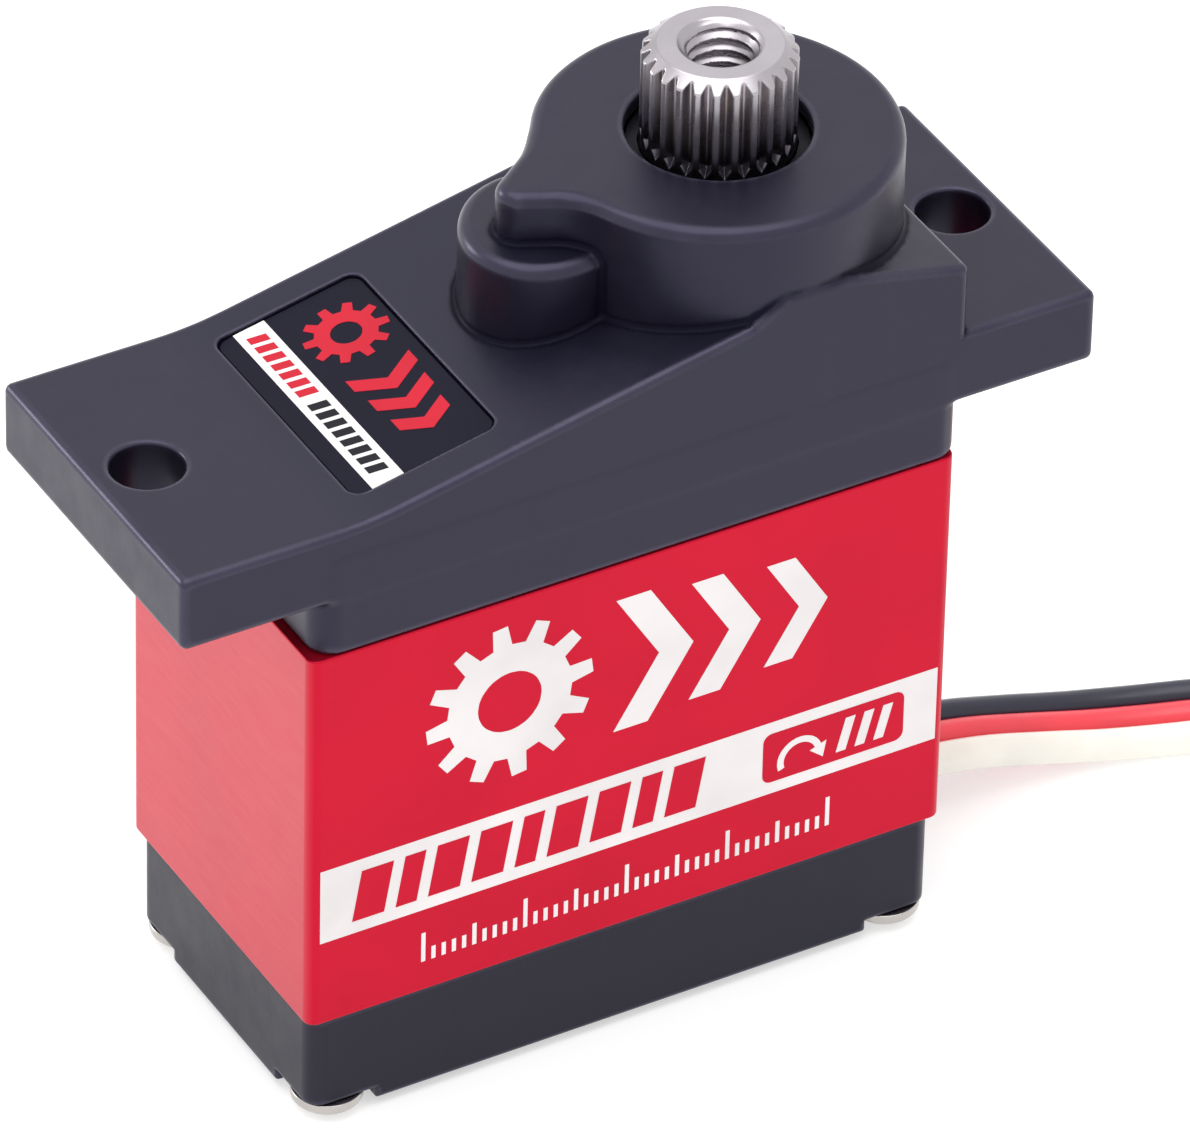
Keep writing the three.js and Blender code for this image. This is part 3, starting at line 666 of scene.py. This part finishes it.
def band(outer, inner, w0, w1):
    """A closed flat ring between two outlines of the same count."""
    n = len(outer)
    V = [(x, y, w) for w in (w0, w1) for ring in (outer, inner) for x, y in ring]
    Q = []
    for i in range(n):
        j = (i + 1) % n
        o0, i0, o1, i1 = 0, n, 2 * n, 3 * n
        Q += [(o0 + j, o0 + i, i0 + i, i0 + j), (o1 + i, o1 + j, i1 + j, i1 + i), (o0 + i, o0 + j, o1 + j, o1 + i), (i0 + j, i0 + i, i1 + i, i1 + j)]
    return V, Q


def spokes(cx, cy, r0, r1, r2, teeth, w0, w1, turn=0.0):
    """A plain cog sign: a toothed rim round a hole."""
    outer, inner = [], []
    for k in range(teeth):
        for da, r in ((-.29, r1), (-.17, r2), (.17, r2), (.29, r1)):
            a = turn + (k + da) * 2 * math.pi / teeth
            outer.append((cx + r * math.cos(a), cy + r * math.sin(a)))
        for da in (-.29, -.1, .1, .29):
            a = turn + (k + da) * 2 * math.pi / teeth
            inner.append((cx + r0 * math.cos(a), cy + r0 * math.sin(a)))
    return band(outer, inner, w0, w1)


def chevron(x, y, h, t, w0, w1):
    k = h * 0.62
    return plate([(x, y - h), (x + t, y - h), (x + t + k, y), (x + t, y + h), (x, y + h), (x + k, y)], w0, w1)


def slant(x, y0, y1, width, lean, w0, w1):
    return plate([(x, y0), (x + width, y0), (x + width + lean, y1), (x + lean, y1)], w0, w1)


def printed(name, parts, place, body="case"):
    V, Q = together(*parts)
    o = mesh_piece(name, place(V), Q, smooth=False)
    bm = bmesh.new(); bm.from_mesh(o.data)
    bmesh.ops.recalc_face_normals(bm, faces=bm.faces)
    bm.to_mesh(o.data); bm.free()
    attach(o, body)
    return o


INK = 0.012
label = printed("label_plate_face", [plate(outline_rect(2.58, 4.60, 0.45), -0.19, -0.10, 0.02)], to_ramp)
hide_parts("label_plate")
# local x runs along the label towards -Y, local y up the ramp
on_label = lambda p: to_ramp(np.stack([np.asarray(p, float)[:, 1], -np.asarray(p, float)[:, 0], np.asarray(p, float)[:, 2]], 1))
L0, L1 = -0.101, -0.10 + INK
label_band = printed("label_band", [plate([(-4.58, -1.93), (4.58, -1.93), (4.58, -0.80), (-4.58, -0.80)], L0, L1)], on_label)
marks = [slant(-4.15 + i * 0.53, -1.68, -1.05, 0.34, 0.16, L1 - .001, L1 + INK) for i in range(7)]
label_marks_red = printed("label_marks_red", marks, on_label)
marks = [slant(-0.15 + i * 0.53, -1.68, -1.05, 0.34, 0.16, L1 - .001, L1 + INK) for i in range(8)]
label_marks_dark = printed("label_marks_dark", marks, on_label)
label_sign = printed("label_sign", [spokes(-2.35, 0.98, 0.52, 1.04, 1.42, 10, L0, L1, 0.1)] + [chevron(-0.35 + i * 1.25, 0.98, 1.15 - 0.12 * i, 0.62, L0, L1) for i in range(3)], on_label)

F0, F1 = -0.002, INK
front_band = printed("front_band", [plate([(-11.3, 7.62), (11.3, 7.62), (11.3, 10.5), (-11.3, 10.5)], F0, F1)], to_front)
blocks = []
x = -10.15
for wdt in (1.15, 0.75, 1.15, 1.15, 0.75, 1.15, 1.15, 0.75, 1.15):
    blocks.append(slant(x, 8.10, 10.02, wdt, 0.34, F1 - .001, F1 + INK)); x += wdt + 0.42
front_blocks = printed("front_blocks", blocks, to_front)
badge_out = [(px + 7.45, py + 9.06) for px, py in outline_rect(2.62, 0.98, 0.32, 5)]
front_badge = printed("front_badge", [plate(badge_out, F1 - .001, F1 + INK)], to_front)
B0, B1 = F1 + INK - .001, F1 + 2 * INK


def arc_arrow(cx, cy, r, t, a0, a1, w0, w1, n=18):
    """A flat arc with an arrow head at its second end: the sign for a turning output."""
    outer = [(cx + (r + t / 2) * math.cos(math.radians(a0 + (a1 - a0) * i / n)), cy + (r + t / 2) * math.sin(math.radians(a0 + (a1 - a0) * i / n))) for i in range(n + 1)]
    inner = [(cx + (r - t / 2) * math.cos(math.radians(a0 + (a1 - a0) * i / n)), cy + (r - t / 2) * math.sin(math.radians(a0 + (a1 - a0) * i / n))) for i in range(n, -1, -1)]
    e = math.radians(a1); s = 1 if a1 > a0 else -1
    tip = (cx + r * math.cos(e) - s * math.sin(e) * t * 2.3, cy + r * math.sin(e) + s * math.cos(e) * t * 2.3)
    head = [(cx + (r + t * 1.35) * math.cos(e), cy + (r + t * 1.35) * math.sin(e)), tip, (cx + (r - t * 1.35) * math.cos(e), cy + (r - t * 1.35) * math.sin(e))]
    pts = outer + head + inner
    return plate(pts, w0, w1)


badge_sign = printed("badge_sign", [arc_arrow(6.2, 8.72, 0.72, 0.24, 200, 20, B0, B1),
                                    slant(7.55, 8.42, 9.7, 0.36, 0.34, B0, B1), slant(8.25, 8.42, 9.7, 0.36, 0.34, B0, B1), slant(8.95, 8.42, 9.7, 0.36, 0.34, B0, B1)], to_front)
ticks = []
for i in range(41):
    x = -7.55 + i * 0.372
    h = 1.15 if i % 10 == 0 else 0.85 if i % 5 == 0 else 0.5
    ticks.append(plate([(x - .075, 5.52), (x + .075, 5.52), (x + .075, 5.52 + h), (x - .075, 5.52 + h)], F0, F1))
front_scale = printed("front_scale", ticks, to_front)
front_sign = printed("front_sign", [spokes(-4.55, 14.85, 1.15, 2.25, 3.02, 12, F0, F1, 0.13)] + [chevron(-0.75 + i * 2.75, 14.85, 2.6 - 0.3 * i, 1.25 - .1 * i, F0, F1) for i in range(3)], to_front)


# ------------------------------------------------------------------ cable grommet, plug, tie
def grommet(x, y, z):
    body = brick(x, y, z, 10.45, 12.1, -1.93, 1.93, EXIT_Z - 0.78, EXIT_Z + 0.78, 0.22)
    holes = None
    for k in (-1, 0, 1):
        q = np.hypot(y - k * PITCH, z - EXIT_Z) - 0.55
        holes = q if holes is None else np.minimum(holes, q)
    rib = np.maximum(np.abs(np.abs(x - 11.75) - 0.0) - 0.06, -(np.maximum(np.abs(y) - 1.85, np.abs(z - EXIT_Z) - 0.70)))
    return smax(smax(body, -holes, 0.12), -rib, 0.04)


grom = field_piece("lead_grommet", grommet, axis_points((10.3, 12.2, .06 * fine)), axis_points((-2.05, 2.05, .06 * fine)), axis_points((1.5, 3.3, .06 * fine)))
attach(grom, "case"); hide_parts("cable_grommet")

PX = 71.2


def plug(x, y, z):
    body = brick(x, y, z, PX, PX + 14, -3.8, 3.8, 0, 2.6, 0.16)
    # a shallow step round the wire end, and a bevelled key along both lower edges
    body = smax(body, -(np.maximum(np.maximum(x - (PX + 3.2), PX - 1 - x), np.abs(np.maximum(np.abs(y) - 3.8, np.abs(z - 1.3) - 1.3)) - 0.12)), 0.06)
    body = smax(body, (np.abs(y) - 3.8 - z + 0.0) * 0.707 + 0.25, 0.1)
    out = body
    for k in (-1, 0, 1):
        yy = y - k * 2.54
        cell = np.maximum(np.maximum(np.abs(yy) - 0.95, np.abs(z - 1.3) - 0.9), slab(x, PX - 1, PX + 15))
        window = np.maximum(np.maximum(np.abs(yy) - 0.62, 2.0 - z), slab(x, PX + 6.0, PX + 8.6))
        lead_in = np.maximum(np.abs(yy) - 0.95 + (PX + 14 - x) * 0.7 - 0.35, np.abs(z - 1.3) - 0.9 + (PX + 14 - x) * 0.7 - 0.25)
        lead_in = np.maximum(lead_in * 0.8, PX + 12 - x)
        out = smax(smax(smax(out, -cell, 0.05), -window, 0.06), -lead_in, 0.05)
    return out


plug_piece = field_piece("lead_plug", plug, axis_points((PX - 0.1, PX + 0.5, .07 * fine), (PX + .5, PX + 13.2, .12 * fine), (PX + 13.2, PX + 14.1, .07 * fine)),
                         axis_points((-3.9, 3.9, .085 * fine)), axis_points((-0.1, 2.7, .08 * fine)), shift=(0, 0, 0))
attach(plug_piece, "case"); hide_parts("plug_housing")


def tie(x, y, z):
    xx = x - 47.7
    q = rect2(y, z - 2.16, 2.86, 2.12, 1.0)
    loop = edge(np.abs(q + 0.16) - 0.155, np.abs(xx) - 1.15, 0.06)
    head = brick(xx, y, z, -1.5, 1.5, -3.75, -2.72, 1.1, 3.1, 0.22)
    slot_cut = np.maximum(np.abs(xx) - 1.0, np.abs(y + 3.25) - 0.16)
    tail = brick(xx, y, z, -1.1, 1.1, -3.41, -3.09, 0.5, 4.1, 0.05)
    return np.minimum(np.minimum(loop, smax(head, -slot_cut, 0.05)), tail)


tie_piece = field_piece("lead_tie", tie, axis_points((46.1, 49.3, .09 * fine)), axis_points((-3.9, 3.0, .075 * fine)), axis_points((-0.05, 4.4, .085 * fine)), shift=(0, 0, 0))
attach(tie_piece, "case")


# ------------------------------------------------------------------ cords attached to the case
for name, k in (("black", 1), ("red", 0), ("white", -1)):
    o = wires[name]
    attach(o, "case")
    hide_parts(f"wire_{name}", f"wire_{name}_tail", *(["lead_hank"] if name == "red" else []))
print("WIRES", {k: round(v, 1) for k, v in wire_lengths.items()})


# ------------------------------------------------------------------ materials
def rgb(r, g, b):
    """An sRGB colour, 0 to 255, as linear."""
    f = lambda c: (c / 255 / 12.92) if c <= 10 else ((c / 255 + 0.055) / 1.055) ** 2.4
    return (f(r), f(g), f(b), 1.0)


class Mat:
    def __init__(self, name, color, rough=0.5, metal=0.0, spec=0.5, coat=0.0, coat_rough=0.1, ior=1.5, tint=None):
        self.m = bpy.data.materials.new(name)
        self.m.use_nodes = True
        self.nt = self.m.node_tree
        self.n, self.l = self.nt.nodes, self.nt.links
        self.b = self.n["Principled BSDF"]
        self.b.inputs["Base Color"].default_value = color
        self.b.inputs["Roughness"].default_value = rough
        self.b.inputs["Metallic"].default_value = metal
        self.b.inputs["Specular IOR Level"].default_value = spec
        self.b.inputs["IOR"].default_value = ior
        self.b.inputs["Coat Weight"].default_value = coat
        self.b.inputs["Coat Roughness"].default_value = coat_rough
        if tint:
            self.b.inputs["Specular Tint"].default_value = tint
        self.co = self.n.new("ShaderNodeTexCoord").outputs["Object"]
        self.color, self.rough = color, rough

    def noise(self, scale, detail=3.0, rough=0.5, vector=None):
        t = self.n.new("ShaderNodeTexNoise")
        t.inputs["Scale"].default_value = scale
        t.inputs["Detail"].default_value = detail
        t.inputs["Roughness"].default_value = rough
        self.l.new(vector or self.co, t.inputs["Vector"])
        return t.outputs["Fac"]

    def stretched(self, sx, sy, sz, at=(0, 0, 0)):
        mp = self.n.new("ShaderNodeMapping")
        mp.inputs["Scale"].default_value = (sx, sy, sz)
        mp.inputs["Location"].default_value = at
        self.l.new(self.co, mp.inputs["Vector"])
        return mp.outputs["Vector"]

    def ramp(self, fac, lo, hi, a=0.0, b=1.0):
        r = self.n.new("ShaderNodeMapRange")
        for k, v in (("From Min", lo), ("From Max", hi), ("To Min", a), ("To Max", b)):
            r.inputs[k].default_value = v
        self.l.new(fac, r.inputs["Value"])
        return r.outputs["Result"]

    def math(self, op, a, b):
        q = self.n.new("ShaderNodeMath"); q.operation = op
        for i, v in enumerate((a, b)):
            if isinstance(v, (int, float)):
                q.inputs[i].default_value = v
            else:
                self.l.new(v, q.inputs[i])
        return q.outputs[0]

    def mix(self, fac, a, b):
        q = self.n.new("ShaderNodeMix"); q.data_type = "RGBA"
        self.l.new(fac, q.inputs["Factor"])
        for v, s in ((a, q.inputs[6]), (b, q.inputs[7])):
            if isinstance(v, tuple):
                s.default_value = v
            else:
                self.l.new(v, s)
        return q.outputs[2]

    def vary(self, scale, lo=0.85, hi=1.15, detail=3.0, other=None):
        """Colour that drifts a little between darker and lighter."""
        f = self.ramp(self.noise(scale, detail), 0.3, 0.7)
        c = self.color
        other = other or tuple(min(x * hi, 1) for x in c[:3]) + (1,)
        self.l.new(self.mix(f, tuple(x * lo for x in c[:3]) + (1,), other), self.b.inputs["Base Color"])
        return self

    def set_rough(self, fac, a, b, lo=0.3, hi=0.7):
        self.l.new(self.ramp(fac, lo, hi, a, b), self.b.inputs["Roughness"])
        return self

    def bump(self, height, strength, distance):
        q = self.n.new("ShaderNodeBump")
        q.inputs["Strength"].default_value = strength
        q.inputs["Distance"].default_value = distance
        self.l.new(height, q.inputs["Height"])
        self.l.new(q.outputs["Normal"], self.b.inputs["Normal"])
        return self


def moulded(name, color, rough, grain=5200, depth=0.000012, spec=0.5, tint=None, edge_highlight_color=None):
    t = Mat(name, color, rough, spec=spec, tint=tint)
    g = t.noise(grain, 4.0, 0.6)
    r = t.ramp(t.noise(900, 3), 0.3, 0.7, rough - 0.04, rough + 0.05)
    if edge_highlight_color:
        # edges rubbed a little smoother than the flats, and painted paler: a painted highlight along them
        a = t.n.new("ShaderNodeAttribute"); a.attribute_name = "wear_and_highlight"
        w = t.math("MULTIPLY", t.ramp(a.outputs["Fac"], 0.35, 1.0), t.ramp(t.noise(420, 3), 0.25, 0.6, 0.55, 1.0))
        drift = t.mix(t.ramp(t.noise(260, 3), 0.3, 0.7), tuple(x * 0.92 for x in color[:3]) + (1,), tuple(x * 1.08 for x in color[:3]) + (1,))
        t.l.new(t.mix(w, drift, edge_highlight_color), t.b.inputs["Base Color"])
        r = t.math("SUBTRACT", r, t.math("MULTIPLY", w, 0.10))
        # inside corners see little of the room, so their specular is turned down: painted shade in the creases
        c = t.n.new("ShaderNodeAttribute"); c.attribute_name = "crease_shade"
        t.l.new(t.ramp(c.outputs["Fac"], 0.10, 0.70, spec, spec * 0.15), t.b.inputs["Specular IOR Level"])
    else:
        t.vary(260, 0.92, 1.08)
    t.l.new(r, t.b.inputs["Roughness"])
    t.bump(g, 0.30, depth)
    return t.m


def metal(name, color, rough, streak=(900, 900, 9000), depth=0.000006, lo=0.88):
    t = Mat(name, color, rough, metal=1.0)
    t.vary(420, lo, 1.06)
    s = t.noise(1.0, 3.0, 0.6, t.stretched(*streak))
    t.set_rough(s, rough - 0.06, rough + 0.08)
    t.bump(s, 0.25, depth)
    return t.m


M = {}
# the case and cover get paler convex edges: a painted highlight
M["case"] = moulded("satin_case", rgb(15, 14, 27), 0.36, spec=0.48, tint=(0.72, 0.68, 1.0, 1), edge_highlight_color=rgb(50, 47, 60))
M["cover"] = moulded("satin_cover", rgb(14, 14, 23), 0.36, spec=0.36, tint=(0.72, 0.71, 1.0, 1), edge_highlight_color=rgb(48, 46, 58))


def sleeve_material(name):
    """Anodised aluminium: satin on the long faces, with a clearer, glossier seal on the short ones."""
    t = Mat(name, rgb(192, 16, 46), 0.36, metal=0.62, spec=0.15, coat=0.0, coat_rough=0.28)
    t.vary(180, 0.95, 1.04)
    s = t.noise(1.0, 3.0, 0.55, t.stretched(700, 700, 5200))
    t.set_rough(s, 0.31, 0.40)
    t.bump(s, 0.16, 0.000005)
    tc = t.n.new("ShaderNodeTexCoord")
    split = t.n.new("ShaderNodeSeparateXYZ")
    t.l.new(tc.outputs["Normal"], split.inputs[0])
    end = t.ramp(t.math("ABSOLUTE", split.outputs["X"], 0.0), 0.55, 0.9, 0.03, 0.42)
    t.l.new(end, t.b.inputs["Coat Weight"])
    return t.m


M["red"] = sleeve_material("anodised_red")
M["red_ink"] = moulded("red_ink", rgb(184, 22, 44), 0.46, 9000, 0.000004, spec=0.2)
M["white_ink"] = moulded("white_ink", rgb(224, 219, 219), 0.48, 9000, 0.000004, spec=0.25)
M["dark_ink"] = moulded("dark_ink", rgb(16, 16, 26), 0.46, 9000, 0.000004, spec=0.2)
M["label"] = moulded("label_film", rgb(10, 10, 26), 0.42, 7000, 0.000006, spec=0.16, tint=(0.8, 0.78, 1.0, 1))


def lathe_steel(name, color, rough):
    """Machined steel: bright lands and chamfers, cut flutes painted darker as shade in the valleys, and all of it
    darker towards the bottom.
    """
    t = Mat(name, color, rough, metal=1.0)
    v = t.stretched(1, 1, 0, (-(OUT_X + CASE_X) * MM, 0, 0))
    length = t.n.new("ShaderNodeVectorMath"); length.operation = "LENGTH"
    t.l.new(v, length.inputs[0])
    radius = length.outputs["Value"]
    split = t.n.new("ShaderNodeSeparateXYZ")
    t.l.new(t.co, split.inputs[0])
    z = split.outputs["Z"]
    above = t.math("MULTIPLY", t.math("MAXIMUM", t.math("SUBTRACT", z, (SHAFT_TOP - 0.37) * MM), 0.0), 1.30)
    land = t.ramp(t.math("ADD", radius, above), 2.40 * MM, 2.48 * MM)
    top_face = t.ramp(z, (SHAFT_TOP - 0.07) * MM, (SHAFT_TOP - 0.02) * MM)
    bore = t.ramp(radius, 1.70 * MM, 1.60 * MM)
    bright = t.math("MAXIMUM", t.math("MAXIMUM", land, top_face), bore)
    grime = t.ramp(t.noise(1500, 3.0, 0.5, t.stretched(1, 1, 0.35)), 0.35, 0.7)
    low = t.ramp(z, 29.5 * MM, 31.5 * MM)
    steel = t.mix(t.ramp(t.noise(500, 3), 0.3, 0.7), tuple(x * 0.90 for x in color[:3]) + (1,), tuple(min(x * 1.05, 1) for x in color[:3]) + (1,))
    # the flutes are painted darker than the lands: painted shade and dark reflection in the valleys
    flute_shade = t.mix(grime, rgb(178, 172, 176), rgb(138, 127, 127))
    # flutes and lands both darker towards the bottom, where the teeth run into the hole
    flute_shade = t.mix(low, rgb(84, 80, 90), flute_shade)
    steel = t.mix(low, rgb(118, 112, 122), steel)
    t.l.new(t.mix(bright, flute_shade, steel), t.b.inputs["Base Color"])
    comb = t.n.new("ShaderNodeCombineXYZ")
    t.l.new(radius, comb.inputs[0])
    rings = t.noise(26000, 2.0, 0.5, comb.outputs[0])
    fine_grain = t.noise(6000, 3.0, 0.6)
    h = t.math("ADD", rings, t.math("MULTIPLY", fine_grain, 0.4))
    t.set_rough(t.noise(900, 2.0), rough - 0.03, rough + 0.04)
    t.bump(h, 0.03, 0.000002)
    return t.m


M["shaft"] = lathe_steel("turned_steel", rgb(180, 175, 180), 0.27)
M["steel"] = metal("gear_steel", rgb(178, 177, 180), 0.32)
M["screw"] = metal("nickel_screw", rgb(196, 192, 188), 0.20, (2500, 2500, 2500), 0.000004)
M["brass"] = metal("gear_brass", rgb(202, 168, 98), 0.30)
# the bearings are painted near-black: painted shade for the dark gap round the shaft
M["bearing"] = metal("bearing_painted_dark", rgb(28, 27, 34), 0.38)
M["can"] = metal("drawn_can", rgb(176, 177, 182), 0.30, (600, 600, 7000))
M["magnet"] = metal("sintered_magnet", rgb(84, 84, 90), 0.55, (3000, 3000, 3000), 0.00002)
M["copper"] = metal("enamelled_copper", rgb(190, 104, 56), 0.28, (500, 500, 14000), 0.00004, 0.7)
M["inner"] = moulded("inner_plastic", rgb(34, 34, 38), 0.55)
M["sensor"] = moulded("sensor_plastic", rgb(52, 82, 134), 0.5)
M["track"] = moulded("sensor_track", rgb(104, 74, 46), 0.6)
M["board"] = moulded("solder_mask", rgb(22, 92, 56), 0.38, 1800, 0.00002)
M["chip"] = moulded("chip_epoxy", rgb(28, 28, 31), 0.5)
M["cap"] = metal("capacitor_can", rgb(160, 160, 166), 0.35)
M["rubber"] = moulded("grommet_rubber", rgb(30, 30, 33), 0.62, 3500, 0.00002)
M["gold"] = metal("gold_contact", rgb(214, 178, 104), 0.26)
M["plug"] = moulded("plug_plastic", rgb(26, 26, 29), 0.45)


def insulation(name, color, rough=0.34):
    t = Mat(name, color, rough, coat=0.15, coat_rough=0.2)
    t.vary(300, 0.9, 1.06)
    s = t.noise(1100, 2.0)
    t.set_rough(s, rough - 0.05, rough + 0.07)
    t.bump(s, 0.12, 0.00003)
    return t.m


M["w_black"] = insulation("wire_black_pvc", rgb(20, 20, 46))
M["w_red"] = insulation("wire_red_pvc", rgb(232, 58, 72))
M["w_white"] = insulation("wire_white_pvc", rgb(240, 238, 228))


def paint(o, key):
    o.data.materials.clear()
    o.data.materials.append(M[key])


def paint_node(name, key):
    o = nodes[name]
    if o.material_slots:
        for s in o.material_slots:
            s.link = "OBJECT"
            s.material = M[key]
    else:
        o.data.materials.append(M[key])


for o, key in ((upper, "case"), (middle, "red"), (cover, "cover"), (shaft, "shaft"), (low_part, "steel"), (label, "label"), (label_band, "white_ink"),
               (label_marks_red, "red_ink"), (label_marks_dark, "dark_ink"), (label_sign, "red_ink"), (front_band, "white_ink"), (front_blocks, "red"),
               (front_badge, "red"), (badge_sign, "white_ink"), (front_scale, "white_ink"), (front_sign, "white_ink"), (grom, "rubber"), (plug_piece, "plug"),
               (tie_piece, "rubber"), (wires["black"], "w_black"), (wires["red"], "w_red"), (wires["white"], "w_white"), *((s, "screw") for s in screws)):
    paint(o, key)
for name in nodes:
    key = ("brass" if name in ("first_gear", "motor_pinion", "motor_sleeve") or name.startswith("motor_brush") else
           "bearing" if "bearing" in name else "can" if name == "motor_can" else "magnet" if name == "motor_magnet" else
           "inner" if name == "motor_end_cap" else "copper" if name in ("motor_winding", "motor_commutator") else
           "sensor" if name in ("pot_housing", "pot_wiper") else "track" if name == "pot_track" else "board" if name == "control_board" else
           "chip" if name in ("controller_chip", "driver_chip", "board_inductor") else "cap" if name == "board_capacitor" else
           "gold" if name.startswith("plug_contact") else "steel")
    paint_node(name, key)


# ------------------------------------------------------------------ floor and light
floor_mesh = bpy.data.meshes.new("floor")
s = 3.0
floor_mesh.from_pydata([(-s, -s, -0.00002), (s, -s, -0.00002), (s, s, -0.00002), (-s, s, -0.00002)], [], [(0, 1, 2, 3)])
floor = bpy.data.objects.new("floor", floor_mesh)
scene.collection.objects.link(floor)
t = Mat("floor_white", (0.60, 0.60, 0.60, 1), 0.65, spec=0.0)
t.vary(6, 0.995, 1.0)
t.b.inputs["Emission Color"].default_value = (1, 1, 1, 1)
t.b.inputs["Emission Strength"].default_value = 0.50
floor_mesh.materials.append(t.m)

world = bpy.data.worlds.new("studio")
scene.world = world
world.use_nodes = True
bg = world.node_tree.nodes["Background"]
bg.inputs["Color"].default_value = (1.0, 1.0, 1.0, 1)
bg.inputs["Strength"].default_value = 1.0


def area(name, at, target, size, power, size_y=None, color=(1, 1, 1)):
    d = bpy.data.lights.new(name, "AREA")
    d.energy = power
    d.color = color
    d.shape = "RECTANGLE"
    d.size, d.size_y = size, size_y or size
    o = bpy.data.objects.new(name, d)
    scene.collection.objects.link(o)
    o.location = at
    o.rotation_mode = "QUATERNION"
    o.rotation_quaternion = (Vector(target) - Vector(at)).to_track_quat("-Z", "Y")
    return o


area("key", (-0.05, 0.0, 0.60), (0, 0, 0.015), 0.60, 2.4)
area("rim", (-0.30, 0.36, 0.17), (0, 0, 0.015), 0.16, 0.6, 0.16)
area("back", (0.22, 0.38, 0.34), (0, 0, 0.015), 0.36, 0.09)

scene.view_settings.view_transform = "Standard"
scene.view_settings.look = "None"
scene.view_settings.exposure = 0.0
scene.view_settings.gamma = 1.0
